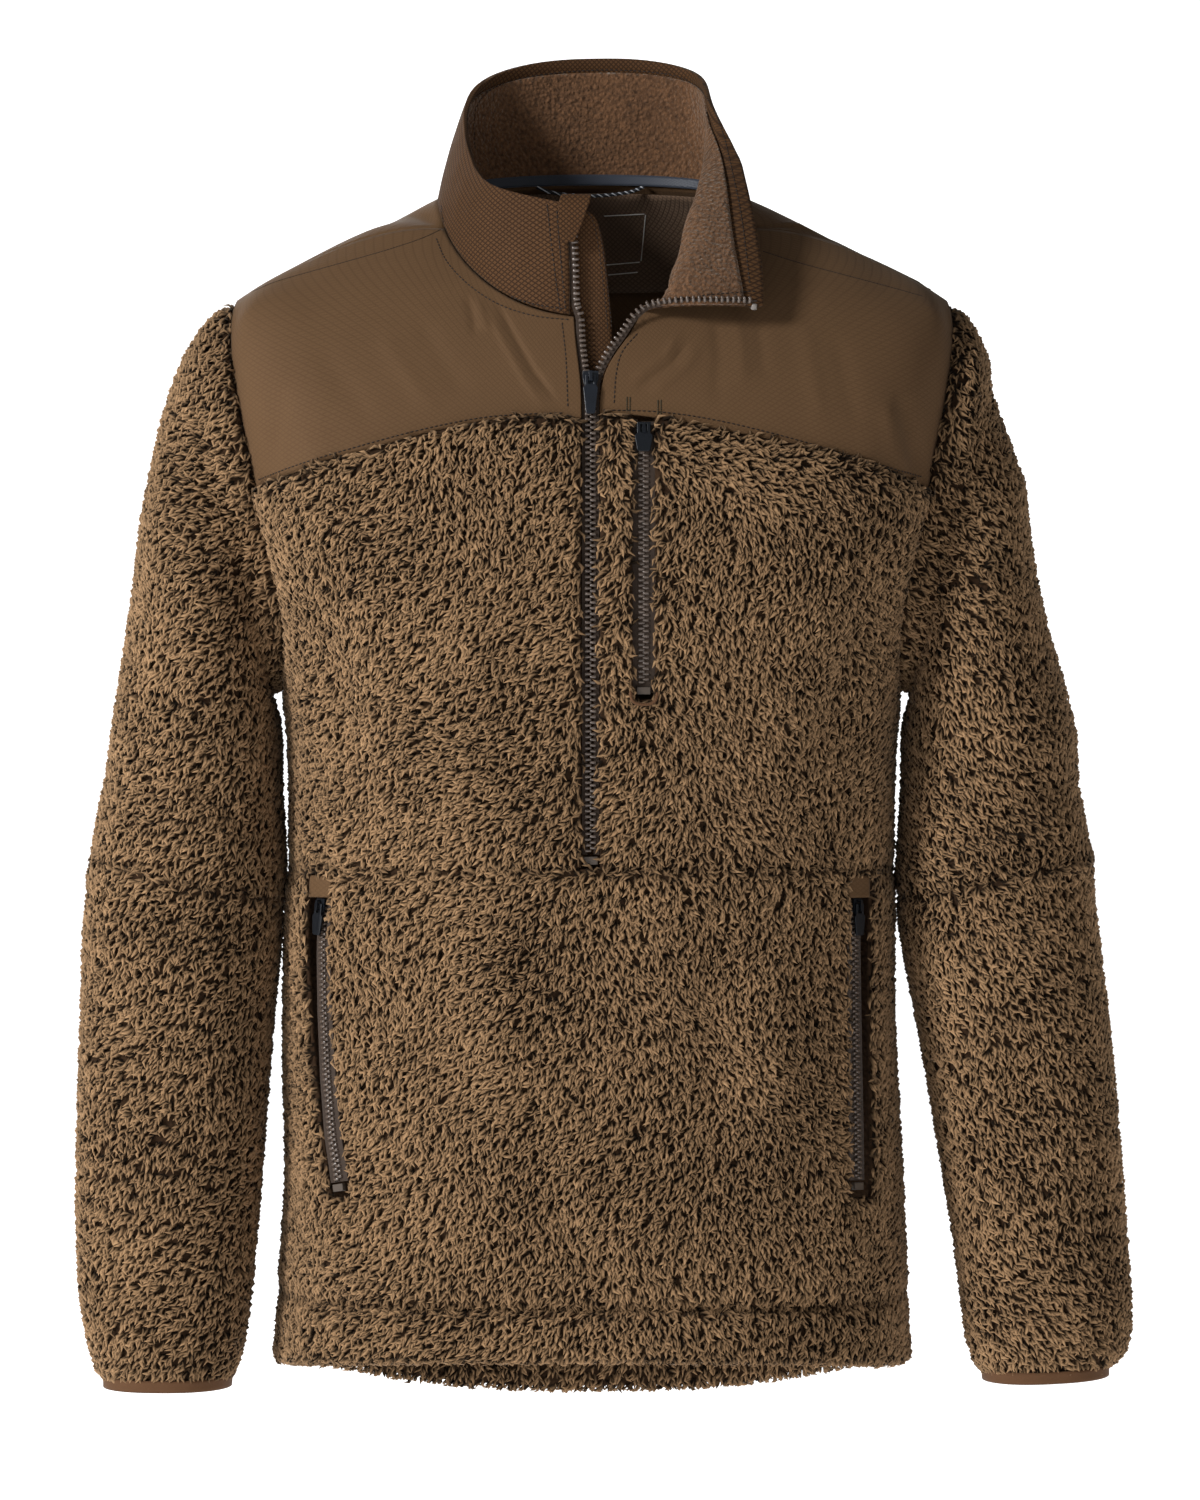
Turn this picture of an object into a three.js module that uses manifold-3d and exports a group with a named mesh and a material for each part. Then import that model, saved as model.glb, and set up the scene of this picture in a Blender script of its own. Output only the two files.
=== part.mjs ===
import * as THREE from 'three';
import { mergeVertices } from 'three/addons/utils/BufferGeometryUtils.js';
import Module from 'manifold-3d';

// Sherpa fleece pullover with nylon yokes and a half zip, filled out as when worn.
// Millimetres. +X is the wearer's left, +Y the back, +Z up. The origin is the middle of
// the neck opening, level with the top of the shoulders.

const PILE = 8; // sherpa: knitted backing and the reach of its pile
const PILE_EDGE = 4.2; // sherpa where a seam holds the pile down
const PILE_ROLL = 11; // from a seam to where the pile stands full
const SHELL = 1.3; // nylon
const FLEECE = 1.5; // microfleece of the collar's inner face
const GAP = 0.3; // between neighbouring pieces
const HEM_FOLD = 5; // how far the turned-up hem stands inwards
const ZIP_MID = -0.6; // x of the closed front zip
const ZIP_HALF = 5.4; // half the opening between the fabric edges along a zip
const COLLAR_BORDER = 0.905; // where the nylon border of the collar's inside begins

const group = new THREE.Group();
const V = (x, y, z) => new THREE.Vector3(x, y, z);

// A short table: the first argument names the columns.
function table(names, rows) {
  const keys = names.split(' ');
  return rows.map((row) => Object.fromEntries(keys.map((key, k) => [key, row[k]])));
}

function lerp(a, b, t) {
  return a + (b - a) * t;
}

function ease(t) {
  const c = Math.min(Math.max(t, 0), 1);
  return c * c * (3 - 2 * c);
}

// A smooth value of one column between the rows of a table, t running over the row numbers.
function between(rows, key, t) {
  const last = rows.length - 1;
  const k = Math.min(Math.max(Math.floor(t), 0), last - 1);
  const f = Math.min(Math.max(t - k, 0), 1);
  const b = rows[k][key];
  const c = rows[k + 1][key];
  const a = k > 0 ? rows[k - 1][key] : 2 * b - c;
  const d = k + 2 <= last ? rows[k + 2][key] : 2 * c - b;
  const bend = 2 * b - 2 * c + (c - a) / 2 + (d - b) / 2;
  const rise = -3 * b + 3 * c - (c - a) - (d - b) / 2;
  return b + ((c - a) / 2) * f + rise * f * f + bend * f * f * f;
}

// The body under the cloth, as rings from the neck seam down to the hem. side, mid and
// sideZ place the widest points of a ring, front and back its middle points; square is
// the ring's squareness and fall how its height runs between side and middle.
const BODY = table('side mid sideZ frontY frontZ backY backZ square fall', [
  [95, 0, 1, -88, -81, 68, 17, 2.15, 1.15],
  [125, 0, -11, -98, -103, 84, 3, 2.3, 1.4],
  [160, 0, -29, -108, -132, 97, -18, 2.5, 1.6],
  [195, 0, -49.5, -116, -166, 107, -48, 2.7, 1.8],
  [219, 0, -63, -121, -205, 113, -88, 2.8, 1.9],
  [222, 0, -110, -124, -243, 117, -138, 2.8, 2],
  [211, 0, -180, -125, -283, 118, -200, 2.7, 2],
  [194, 0, -250, -123, -322, 115, -265, 2.6, 2],
  [184, 0, -310, -121, -352, 110, -322, 2.55, 2],
  [180.5, 0, -370, -118.5, -392, 103, -378, 2.5, 2],
  [180.5, -1, -434, -117, -440, 98, -436, 2.5, 2],
  [183, -2.5, -500, -117, -500, 98, -500, 2.5, 1.6],
  [186, -2, -560, -118, -560, 101, -562, 2.5, 1.5],
  [188, -1, -620, -119.5, -618, 106, -640, 2.5, 1.4],
  [190, 0, -686, -121, -674.5, 111, -727, 2.5, 1.4],
  [190.5, 0, -717, -121, -704, 112, -757, 2.5, 1.4],
]);
const HEM = BODY.length - 1;
const DEG = Math.PI / 180;

// A point of the body. angle is 0 at the front, 90 at the wearer's left, 180 behind.
function bodyAt(angle, t) {
  const row = {};
  for (const key of Object.keys(BODY[0])) row[key] = between(BODY, key, t);
  const c = Math.cos(angle * DEG);
  const s = Math.sin(angle * DEG);
  const y = c > 0 ? row.frontY : row.backY;
  const z = c > 0 ? row.frontZ : row.backZ;
  const power = 2 / row.square;
  return V(
    row.mid + Math.sign(s) * row.side * Math.abs(s) ** power,
    y * Math.abs(c) ** power,
    row.sideZ + (z - row.sideZ) * Math.abs(c) ** row.fall,
  );
}

function bodyNormal(angle, t) {
  const da = 1.5;
  const dt = 0.06;
  const along = bodyAt(angle + da, t).sub(bodyAt(angle - da, t));
  const low = Math.min(t + dt, HEM);
  const high = Math.max(t - dt, 0);
  const down = bodyAt(angle, low).sub(bodyAt(angle, high));
  return down.cross(along).normalize();
}

// The unknown between low and high for which rising(value) reaches the target.
function solve(rising, target, low, high) {
  let a = low;
  let b = high;
  for (let k = 0; k < 40; k += 1) {
    const m = (a + b) / 2;
    if (rising(m) < target) a = m;
    else b = m;
  }
  return (a + b) / 2;
}

function ringAtHeight(angle, z) {
  return solve((t) => -bodyAt(angle, t).z, -z, 0, HEM);
}

// [angle, ring] of a point of the front from where it is seen, at x and z.
function seen(x, z) {
  const side = Math.sign(x) || 1;
  const angle = solve((a) => {
    const p = bodyAt(side * a, ringAtHeight(side * a, z));
    return side * p.x;
  }, side * x, 0, 90);
  return [side * angle, ringAtHeight(side * angle, z)];
}

// [angle, ring] of a point beside the arm from the side view, at y and z.
function beside(side, y, z) {
  const back = y > 0;
  const angle = solve((a) => {
    const p = bodyAt(side * a, ringAtHeight(side * a, z));
    return p.y;
  }, y, back ? 90 : 0, back ? 180 : 90);
  return [side * angle, ringAtHeight(side * angle, z)];
}

// The place at fraction f of a polyline of [angle, ring] places.
function along(line, f) {
  const places = line.map(([a, t]) => bodyAt(a, t));
  const reach = [0];
  for (let k = 1; k < line.length; k += 1) {
    reach.push(reach[k - 1] + places[k].distanceTo(places[k - 1]));
  }
  const goal = f * reach[line.length - 1];
  let k = 1;
  while (k < line.length - 1 && reach[k] < goal) k += 1;
  const g = (goal - reach[k - 1]) / (reach[k] - reach[k - 1] || 1);
  return [lerp(line[k - 1][0], line[k][0], g), lerp(line[k - 1][1], line[k][1], g)];
}

function sampled(line, fractions) {
  return fractions.map((f) => along(line, f));
}

// The armhole in the side view, from the shoulder tip to the underarm.
const ARMHOLE_FRONT = table('y z', [
  [-9, -65], [-22, -73], [-37, -93], [-48, -121], [-54, -152], [-57, -184],
  [-59, -215], [-57, -245], [-47, -275], [-27, -296], [-8, -303.4],
]);
const ARMHOLE_BACK = table('y z', [
  [9, -65], [22, -73], [38, -94], [50, -122], [57, -153], [60, -185],
  [60, -215], [56, -245], [46, -275], [26, -296], [8, -303.4],
]);
const YOKE_ROW = 5; // the row of each armhole table where the yoke seam meets it
const TIP_RING = 4;
const UNDERARM = -304;

// Fractions along the seams. The first and last steps give the pile room to roll down.
const STEP_ARM_TOP = [0, 0.15, 0.33, 0.51, 0.69, 0.86, 1];
const STEP_ARM_LOW = [0, 0.08, 0.25, 0.44, 0.64, 0.84, 1];

function armhole(side) {
  const tip = [side * 90, TIP_RING];
  const under = [side * 90, ringAtHeight(90, UNDERARM)];
  const place = (row) => beside(side, row.y, row.z);
  const front = [tip, ...ARMHOLE_FRONT.map(place), under];
  const back = [tip, ...ARMHOLE_BACK.map(place), under];
  const split = YOKE_ROW + 2;
  return {
    frontTop: sampled(front.slice(0, split), STEP_ARM_TOP),
    frontLow: sampled(front.slice(split - 1), STEP_ARM_LOW),
    backTop: sampled(back.slice(0, split), STEP_ARM_TOP),
    backLow: sampled(back.slice(split - 1), STEP_ARM_LOW),
  };
}
const ARM = { right: armhole(-1), left: armhole(1) };
const SIDE_OF = { right: -1, left: 1 };

// Columns of the front from the zip to the side. The stops are the zip's edge, the chest
// pocket's two edges, the hand pocket's two edges and the side seam.
const STOP_STEPS = [
  [0, 0.25, 0.75],
  [0],
  [0, 0.04, 0.1, 0.37, 0.64, 0.9, 0.96],
  [0],
  [0, 0.07, 0.17, 0.5, 0.83, 0.93],
];
const CHEST_SLOT = 3; // the column where the chest pocket's opening begins
const HAND_SLOT = 11; // the column where the hand pocket's opening begins

function columns(stops) {
  const line = [];
  STOP_STEPS.forEach((steps, k) => {
    for (const f of steps) line.push(lerp(stops[k], stops[k + 1], f));
  });
  line.push(stops[stops.length - 1]);
  return line;
}

// Seams of the front as they are seen, x and z, from the zip to the side.
const YOKE_SEAM = {
  right: table('x z', [
    [-6, -143.5], [-30, -141.5], [-46, -142], [-72, -145.5], [-101, -152], [-141, -164],
    [-169, -172], [-188, -178.5], [-201, -183],
  ]),
  left: table('x z', [
    [4.8, -141.8], [22, -140.8], [43, -143.4], [63, -147], [96, -153.5], [128, -159.5],
    [162, -168], [178, -174], [190, -179], [202, -184],
  ]),
};
const CHEST_STOPS = { right: [24.5, 37.5, 146, 160], left: [24.5, 37.5, 146, 160] };

function yokeSeam(name) {
  const side = SIDE_OF[name];
  const line = YOKE_SEAM[name].slice(0, -1).map((row) => seen(row.x, row.z));
  const end = ARM[name].frontLow[0];
  line.push(end);
  const edge = Math.abs(YOKE_SEAM[name][0].x);
  const far = Math.abs(bodyAt(...end).x);
  const at = (x) => {
    const reach = (f) => side * bodyAt(...along(line, f)).x;
    return x <= edge ? 0 : solve(reach, x, 0, 1);
  };
  const [a, b, c, d] = CHEST_STOPS[name];
  const stops = [0, at(a), at(b), at(Math.min(c, far - 30)), at(Math.min(d, far - 20)), 1];
  return sampled(line, columns(stops));
}

// Heights of the rows below the waist seam: at the side, at the middle of the front and at
// the middle of the back.
const LOWER_ROWS = table('side mid back', [
  [-411.5, -411.5, -411.5], [-416, -415.5, -416], [-424, -423, -424], [-440, -438, -440],
  [-465, -463, -466], [-500, -497, -503], [-540, -536, -546], [-575, -571, -585],
  [-597, -593, -611], [-613, -609, -630], [-624, -619, -645],
  [-650, -643, -680], [-676, -666, -716], [-685, -674, -727], [-694, -682, -737],
  [-708, -696, -750], [-717, -704, -757],
]);
const SLOT_TOP = 1;
const SLOT_END = 9;
const STITCH_ROW = 13;

// The hand pocket openings as they are seen: the inner and outer edge at a height.
const HAND_SLOTS = {
  right: table('z inner outer', [
    [-411, 153, 168], [-450, 156, 170], [-500, 155, 169], [-550, 152, 166], [-580, 149, 163],
    [-616, 144, 158], [-717, 141, 156],
  ]),
  left: table('z inner outer', [
    [-411, 152, 166], [-450, 152, 166], [-500, 152.5, 166.5], [-550, 153, 167],
    [-580, 153.5, 167.5], [-616, 153.5, 167.5], [-717, 152, 168],
  ]),
};

function slotAt(name, z) {
  const rows = HAND_SLOTS[name];
  const t = solve((f) => -between(rows, 'z', f), -z, 0, rows.length - 1);
  return [between(rows, 'inner', t), between(rows, 'outer', t)];
}

function lowerRow(name, j) {
  const side = SIDE_OF[name];
  const { side: zSide, mid } = LOWER_ROWS[j];
  const [inner, outer] = slotAt(name, lerp(zSide, mid, 0.4));
  const xs = [ZIP_HALF + side * ZIP_MID, 24.5, 37.5, inner, outer];
  const stops = xs.map((x) => Math.abs(seen(side * x, lerp(zSide, mid, 0.5))[0]));
  stops.push(90);
  return columns(stops).map((a) => {
    const z = lerp(zSide, mid, Math.cos(a * DEG) ** 1.4);
    return [side * a, ringAtHeight(side * a, z)];
  });
}

// Places inside four sides: bottom and top run the same way, and so do start and end.
function inside(bottom, top, start, end) {
  const nu = bottom.length - 1;
  const nv = start.length - 1;
  const reach = (line) => {
    const sums = [0];
    for (let k = 1; k < line.length; k += 1) {
      const p = bodyAt(...line[k]);
      sums.push(sums[k - 1] + p.distanceTo(bodyAt(...line[k - 1])));
    }
    return sums.map((s) => s / sums[sums.length - 1]);
  };
  const ub = reach(bottom);
  const ut = reach(top);
  const vs = reach(start);
  const ve = reach(end);
  const grid = [];
  for (let j = 0; j <= nv; j += 1) {
    const row = [];
    for (let i = 0; i <= nu; i += 1) {
      const v0 = j / nv;
      const u = lerp(ub[i], ut[i], lerp(vs[j], ve[j], i / nu));
      const v = lerp(vs[j], ve[j], u);
      row.push([0, 1].map((k) => {
        const sides = lerp(start[j][k], end[j][k], u);
        const ends = lerp(bottom[i][k], top[i][k], v);
        const low = lerp(bottom[0][k], bottom[nu][k], u);
        const high = lerp(top[0][k], top[nu][k], u);
        return v0 === 0 ? bottom[i][k] : v0 === 1 ? top[i][k] : sides + ends - lerp(low, high, v);
      }));
    }
    grid.push(row);
  }
  return grid;
}

// Cloth as a closed body over a grid of { p, n } places, p on the body side. out and deep
// give how far it stands outwards and inwards; cells in open(i, j) are left out.
function cloth(name, material, grid, { out, deep = () => 0, open = () => false, around = false }) {
  const rows = grid.length;
  const cols = grid[0].length;
  const cellCols = around ? cols : cols - 1;
  const gone = (i, j) => {
    if (j < 0 || j >= rows - 1) return true;
    if (!around && (i < 0 || i >= cols - 1)) return true;
    return open((i + cols) % cols, j);
  };
  const near = (i, j) => {
    const cells = [[i - 1, j - 1], [i, j - 1], [i - 1, j], [i, j]];
    return cells.filter(([a, b]) => gone(around ? (a + cols) % cols : a, b)).length;
  };
  const edge = grid.map((row, j) => row.map((_, i) => near(i, j) > 0));
  const gapStep = (i, j) => {
    const at = (a, b) => {
      const c = around ? (a + cols) % cols : a;
      return b >= 0 && b < rows && c >= 0 && c < cols ? grid[b][c].p : null;
    };
    const here = grid[j][i].p;
    const move = V(0, 0, 0);
    if (!edge[j][i]) return move;
    const lostLeft = gone(around ? (i - 1 + cols) % cols : i - 1, j) && gone(around
      ? (i - 1 + cols) % cols : i - 1, j - 1);
    const lostRight = gone(i, j) && gone(i, j - 1);
    const lostUp = gone(i, j) && gone(around ? (i - 1 + cols) % cols : i - 1, j);
    const lostDown = gone(i, j - 1) && gone(around ? (i - 1 + cols) % cols : i - 1, j - 1);
    const pull = (q) => {
      if (q) move.add(q.clone().sub(here).normalize().multiplyScalar(GAP / 2));
    };
    if (lostLeft && !lostRight) pull(at(i + 1, j));
    if (lostRight && !lostLeft) pull(at(i - 1, j));
    if (lostUp && !lostDown) pull(at(i, j - 1));
    if (lostDown && !lostUp) pull(at(i, j + 1));
    return move;
  };
  const reach = (i, j, di, dj) => {
    let a = i;
    let b = j;
    let far = 0;
    for (let k = 0; k < 6; k += 1) {
      if (edge[b][a]) return far;
      const c = around ? (a + di + cols) % cols : a + di;
      const d = b + dj;
      if (d < 0 || d >= rows || c < 0 || c >= cols) return far;
      far += grid[d][c].p.distanceTo(grid[b][a].p);
      a = c;
      b = d;
    }
    return Infinity;
  };
  const position = [];
  const index = [];
  const outer = [];
  const inner = [];
  for (let j = 0; j < rows; j += 1) {
    outer.push([]);
    inner.push([]);
    for (let i = 0; i < cols; i += 1) {
      const { p, n } = grid[j][i];
      const far = Math.min(reach(i, j, 1, 0), reach(i, j, -1, 0), reach(i, j, 0, 1), reach(i, j, 0, -1));
      const base = p.clone().add(gapStep(i, j));
      const a = base.clone().addScaledVector(n, out(i, j, far));
      const b = base.clone().addScaledVector(n, -deep(i, j, far));
      outer[j].push(position.length / 3);
      position.push(a.x, a.y, a.z);
      inner[j].push(position.length / 3);
      position.push(b.x, b.y, b.z);
    }
  }
  const quad = (a, b, c, d) => index.push(a, b, c, a, c, d);
  for (let j = 0; j < rows - 1; j += 1) {
    for (let i = 0; i < cellCols; i += 1) {
      const k = (i + 1) % cols;
      if (gone(i, j)) continue;
      quad(outer[j][i], outer[j][k], outer[j + 1][k], outer[j + 1][i]);
      quad(inner[j][i], inner[j + 1][i], inner[j + 1][k], inner[j][k]);
      if (gone(i, j - 1)) quad(outer[j][i], inner[j][i], inner[j][k], outer[j][k]);
      if (gone(i, j + 1)) quad(outer[j + 1][k], inner[j + 1][k], inner[j + 1][i], outer[j + 1][i]);
      const left = around ? (i - 1 + cols) % cols : i - 1;
      const right = around ? k : i + 1;
      if (gone(left, j)) quad(outer[j + 1][i], inner[j + 1][i], inner[j][i], outer[j][i]);
      if (gone(right, j)) quad(outer[j][k], inner[j][k], inner[j + 1][k], outer[j + 1][k]);
    }
  }
  add(name, material, position, index);
}

// Puts a body into the group with its faces outwards and without unused points.
function add(name, material, position, index) {
  const used = new Map();
  const points = [];
  const faces = index.map((k) => {
    if (!used.has(k)) {
      used.set(k, points.length / 3);
      points.push(position[3 * k], position[3 * k + 1], position[3 * k + 2]);
    }
    return used.get(k);
  });
  let volume = 0;
  const at = (k) => V(points[3 * k], points[3 * k + 1], points[3 * k + 2]);
  for (let k = 0; k < faces.length; k += 3) {
    volume += at(faces[k]).dot(at(faces[k + 1]).cross(at(faces[k + 2])));
  }
  if (volume < 0) {
    for (let k = 0; k < faces.length; k += 3) {
      [faces[k + 1], faces[k + 2]] = [faces[k + 2], faces[k + 1]];
    }
  }
  const geometry = new THREE.BufferGeometry();
  geometry.setAttribute('position', new THREE.Float32BufferAttribute(points, 3));
  geometry.setIndex(faces);
  geometry.computeVertexNormals();
  const mesh = new THREE.Mesh(geometry, material);
  mesh.name = name;
  group.add(mesh);
  return mesh;
}

function paint(color, roughness, metalness = 0) {
  return new THREE.MeshStandardMaterial({ color, roughness, metalness });
}

function onBody(grid) {
  return grid.map((row) => row.map(([a, t]) => ({ p: bodyAt(a, t), n: bodyNormal(a, t) })));
}

const sherpa = () => paint(0x7d6549, 0.95);
const nylon = () => paint(0x664c39, 0.62);
const fleece = () => paint(0x69503a, 0.9);
const pileOut = (i, j, far) => lerp(PILE_EDGE, PILE, ease(far / PILE_ROLL));
const shellOut = () => SHELL;

// Neck ring: where the zip edges and the shoulder seams meet it.
const NECK_END = { right: -10.5, left: 30 };
const NECK_SIDE_Z = -22;

function neckAngle(x) {
  return Math.sign(x) * solve((a) => Math.sign(x) * bodyAt(Math.sign(x) * a, 0).x, Math.abs(x), 0, 90);
}
const SHOULDER_ANGLE = solve((a) => bodyAt(a, 0).z, NECK_SIDE_Z, 0, 90);

const STEP_NECK = [0, 0.06, 0.13, 0.21, 0.29, 0.37, 0.45, 0.53, 0.61, 0.69, 0.77, 0.85, 0.93, 1];
const STEP_SHOULDER = [0, 0.17, 0.38, 0.6, 0.82, 1];

function shoulderSeam(name) {
  const side = SIDE_OF[name];
  const line = STEP_SHOULDER.map((f) => {
    const angle = lerp(SHOULDER_ANGLE, 90, f ** 0.8);
    return [side * angle, TIP_RING * f];
  });
  return sampled(line, STEP_SHOULDER);
}

// The front yoke's edge along the zip, seen, from the yoke seam to the neck.
const YOKE_EDGE = {
  right: table('x z', [
    [-6, -143.5], [-6, -130], [-6.2, -122], [-7.4, -112], [-8.8, -102], [-9.8, -92], [-10.5, -81],
  ]),
  left: table('x z', [
    [4.8, -141.8], [4.8, -130], [5.4, -121], [9, -111], [14.5, -102], [22, -93], [30, -83],
  ]),
};
const STEP_YOKE = [0, 0.17, 0.34, 0.51, 0.68, 0.84, 1];

// Heights of the chest's rows at the zip and, below the armhole, at the side seam.
const CHEST_ROWS = table('zip side', [
  [-411.5, -411.5], [-407, -407], [-400, -400], [-372, -370], [-341, -336], [-313, UNDERARM],
  [-285, 0], [-250, 0], [-213, 0], [-178, 0], [-152, 0],
]);
const CHEST_SLOT_ROW = 5; // the row where the chest pocket's opening ends
const chestGrid = {};

// Columns near the zip run straight up from the waist; farther out they ease back.
function straightened(side, grid) {
  const last = grid.length - 1;
  const xOf = (j, i) => bodyAt(...grid[j][i]).x;
  return grid.map((row, j) => row.map((place, i) => {
    const share = 1 - ease((i - 4) / 4);
    if (i === 0 || j === 0 || j === last || share === 0) return place;
    const x = lerp(xOf(0, i), xOf(last, i), j / last);
    const straight = seen(x, bodyAt(...place).z);
    return [0, 1].map((k) => lerp(place[k], straight[k], share));
  }));
}

for (const name of ['right', 'left']) {
  const side = SIDE_OF[name];
  const seam = yokeSeam(name);
  const neck = [];
  const from = Math.abs(neckAngle(NECK_END[name]));
  for (const f of STEP_NECK) neck.push([side * lerp(from, SHOULDER_ANGLE, f), 0]);
  const top = [...neck, ...shoulderSeam(name).slice(1)];
  const edge = YOKE_EDGE[name].slice(0, -1).map((row) => seen(row.x, row.z));
  edge[0] = seam[0];
  edge.push(neck[0]);
  const start = sampled(edge, STEP_YOKE);
  const end = [...ARM[name].frontTop].reverse();
  cloth(`yoke_front_${name}`, nylon(), onBody(inside(seam, top, start, end)), { out: shellOut });

  const waist = lowerRow(name, 0);
  const zip = ZIP_MID + side * ZIP_HALF;
  const zipEdge = CHEST_ROWS.map((row) => seen(zip, row.zip));
  zipEdge[0] = waist[0];
  zipEdge.push(seam[0]);
  const below = CHEST_ROWS.slice(0, CHEST_SLOT_ROW).map((row) => {
    return [side * 90, ringAtHeight(side * 90, row.side)];
  });
  const chestSide = [...below, ...[...ARM[name].frontLow].reverse()];
  const slot = (i, j) => name === 'left' && i === CHEST_SLOT && j >= CHEST_SLOT_ROW;
  chestGrid[name] = straightened(side, inside(waist, seam, zipEdge, chestSide));
  cloth(`chest_${name}`, sherpa(), onBody(chestGrid[name]), { out: pileOut, open: slot });
}

// The lower front, hem turned up inside.
const frontRows = LOWER_ROWS.map((_, j) => [...lowerRow('right', j).reverse(), ...lowerRow('left', j)]);
const halfColumns = frontRows[0].length / 2;
const handCells = [halfColumns - 2 - HAND_SLOT, halfColumns + HAND_SLOT]; // of the two openings
const hemOut = (j, far) => {
  if (j === LOWER_ROWS.length - 1) return 5.5;
  if (j === STITCH_ROW) return PILE_EDGE + 1;
  return pileOut(0, j, Math.min(far, 5 + 9 * Math.abs(j - STITCH_ROW)));
};
const hemDeep = (j) => {
  if (j <= STITCH_ROW) return 0;
  return j === LOWER_ROWS.length - 1 ? 0.7 * HEM_FOLD : HEM_FOLD;
};
cloth('front_lower', sherpa(), onBody(frontRows), {
  out: (i, j, far) => hemOut(j, far),
  deep: (i, j) => hemDeep(j),
  open: (i, j) => handCells.includes(i) && j >= SLOT_TOP && j < SLOT_END,
});

// The back, from the wearer's left to the right. Angles run on past 180.
const BACK_HALF = [0, 0.014, 0.04, 0.085, 0.135, 0.185, 0.235, 0.285, 0.335, 0.385, 0.432, 0.478];
const BACK_STEPS = [...BACK_HALF, ...[...BACK_HALF].reverse().map((f) => 1 - f)];
const BACK_YOKE_RISE = 19; // how far the back yoke seam rises from the armholes
const onward = (line) => line.map(([a, t]) => [a < 0 ? a + 360 : a, t]);

function backSeam() {
  const from = ARM.left.backLow[0];
  const to = onward([ARM.right.backLow[0]])[0];
  const line = [];
  for (let k = 0; k <= 24; k += 1) {
    const angle = lerp(from[0], to[0], k / 24);
    const z = bodyAt(...from).z + BACK_YOKE_RISE * Math.sin((Math.PI * k) / 24);
    line.push([angle, ringAtHeight(angle, z)]);
  }
  return sampled(line, BACK_STEPS);
}
const seamBehind = backSeam();
const neckBehind = [];
for (let k = 1; k < 13; k += 1) {
  neckBehind.push([lerp(SHOULDER_ANGLE, 360 - SHOULDER_ANGLE, k / 13), 0]);
}
const topBehind = [
  ...shoulderSeam('left').reverse(),
  ...neckBehind,
  ...onward(shoulderSeam('right')),
];
cloth('yoke_back', nylon(), onBody(inside(
  seamBehind,
  topBehind,
  [...ARM.left.backTop].reverse(),
  onward([...ARM.right.backTop].reverse()),
)), { out: shellOut });

const backAcross = (j) => {
  const { side, back } = LOWER_ROWS[j];
  return BACK_STEPS.map((f) => {
    const angle = lerp(90, 270, f);
    const z = lerp(side, back, Math.abs(Math.cos(angle * DEG)) ** 1.4);
    return [angle, ringAtHeight(angle, z)];
  });
};
const BACK_ROWS = [0, 2, 4, 6, 8, 10, 11, 12, 13, 14, 15, 16]; // of the rows below the waist
const backLowRows = BACK_ROWS.map(backAcross).reverse();
const backSide = (name) => {
  const angle = name === 'left' ? 90 : 270;
  const below = CHEST_ROWS.slice(0, CHEST_SLOT_ROW).map((row) => [angle, ringAtHeight(angle, row.side)]);
  return [...below, ...onward([...ARM[name].backLow].reverse())];
};
const backHighRows = inside(backAcross(0), seamBehind, backSide('left'), backSide('right'));
const backRows = [...backLowRows, ...backHighRows.slice(1)];
const lowRow = (j) => (j < BACK_ROWS.length ? BACK_ROWS[BACK_ROWS.length - 1 - j] : 0);
cloth('back_body', sherpa(), onBody(backRows), {
  out: (i, j, far) => (j < BACK_ROWS.length ? hemOut(lowRow(j), far) : pileOut(i, j, far)),
  deep: (i, j) => hemDeep(lowRow(j)),
});

// Sleeves as rings from the armhole to the cuff: the outer and inner edge of the pile as
// seen from the front, the middle's y and half the depth.
const SLEEVE = {
  right: table('outX outZ inX inZ midY deep', [
    [-238, -76, -199, -309, 0, 65], [-252, -95, -195.5, -322, 0, 69],
    [-266, -136, -193.5, -335, -2, 72], [-278, -198, -193, -350, -5, 73],
    [-287, -262, -192.5, -368, -8, 71], [-297, -322, -192.5, -392, -10, 68],
    [-307, -385, -193, -418, -12, 65], [-312.5, -405, -193, -432, -13, 64],
    [-314.5, -432, -195, -452, -14, 63], [-316.5, -480, -199, -500, -17, 61],
    [-318, -550, -201.5, -560, -21, 57], [-320, -620, -208, -628, -26, 52],
    [-319, -672, -212, -678, -30, 48], [-309, -721, -218, -722, -33, 44],
    [-303.5, -731, -220.5, -731, -33.5, 43],
  ]),
  left: table('outX outZ inX inZ midY deep', [
    [234, -74, 199, -309, 0, 65], [246, -95, 195.5, -322, 0, 69],
    [257, -140, 193.5, -335, -2, 72], [270, -205, 193, -350, -5, 73],
    [281, -265, 192.5, -368, -8, 71], [291, -329, 192, -392, -10, 68],
    [303, -384, 191.5, -415, -12, 65], [313.5, -404, 191.5, -430, -13, 64],
    [315, -432, 193, -452, -14, 63], [319, -485, 198, -497, -17, 61],
    [326, -570, 212, -565, -22, 57], [331, -635, 221, -632, -27, 52],
    [334, -688, 229, -684, -31, 48], [331, -714, 235, -717, -33, 44],
    [321, -723, 240.5, -727, -33.5, 43],
  ]),
};
const SLEEVE_SQUARE = 2.2;
const ELBOW = 7; // the row of the elbow seam
const CUFF = 14;
const BINDING = 8; // height of the cuff binding

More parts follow.
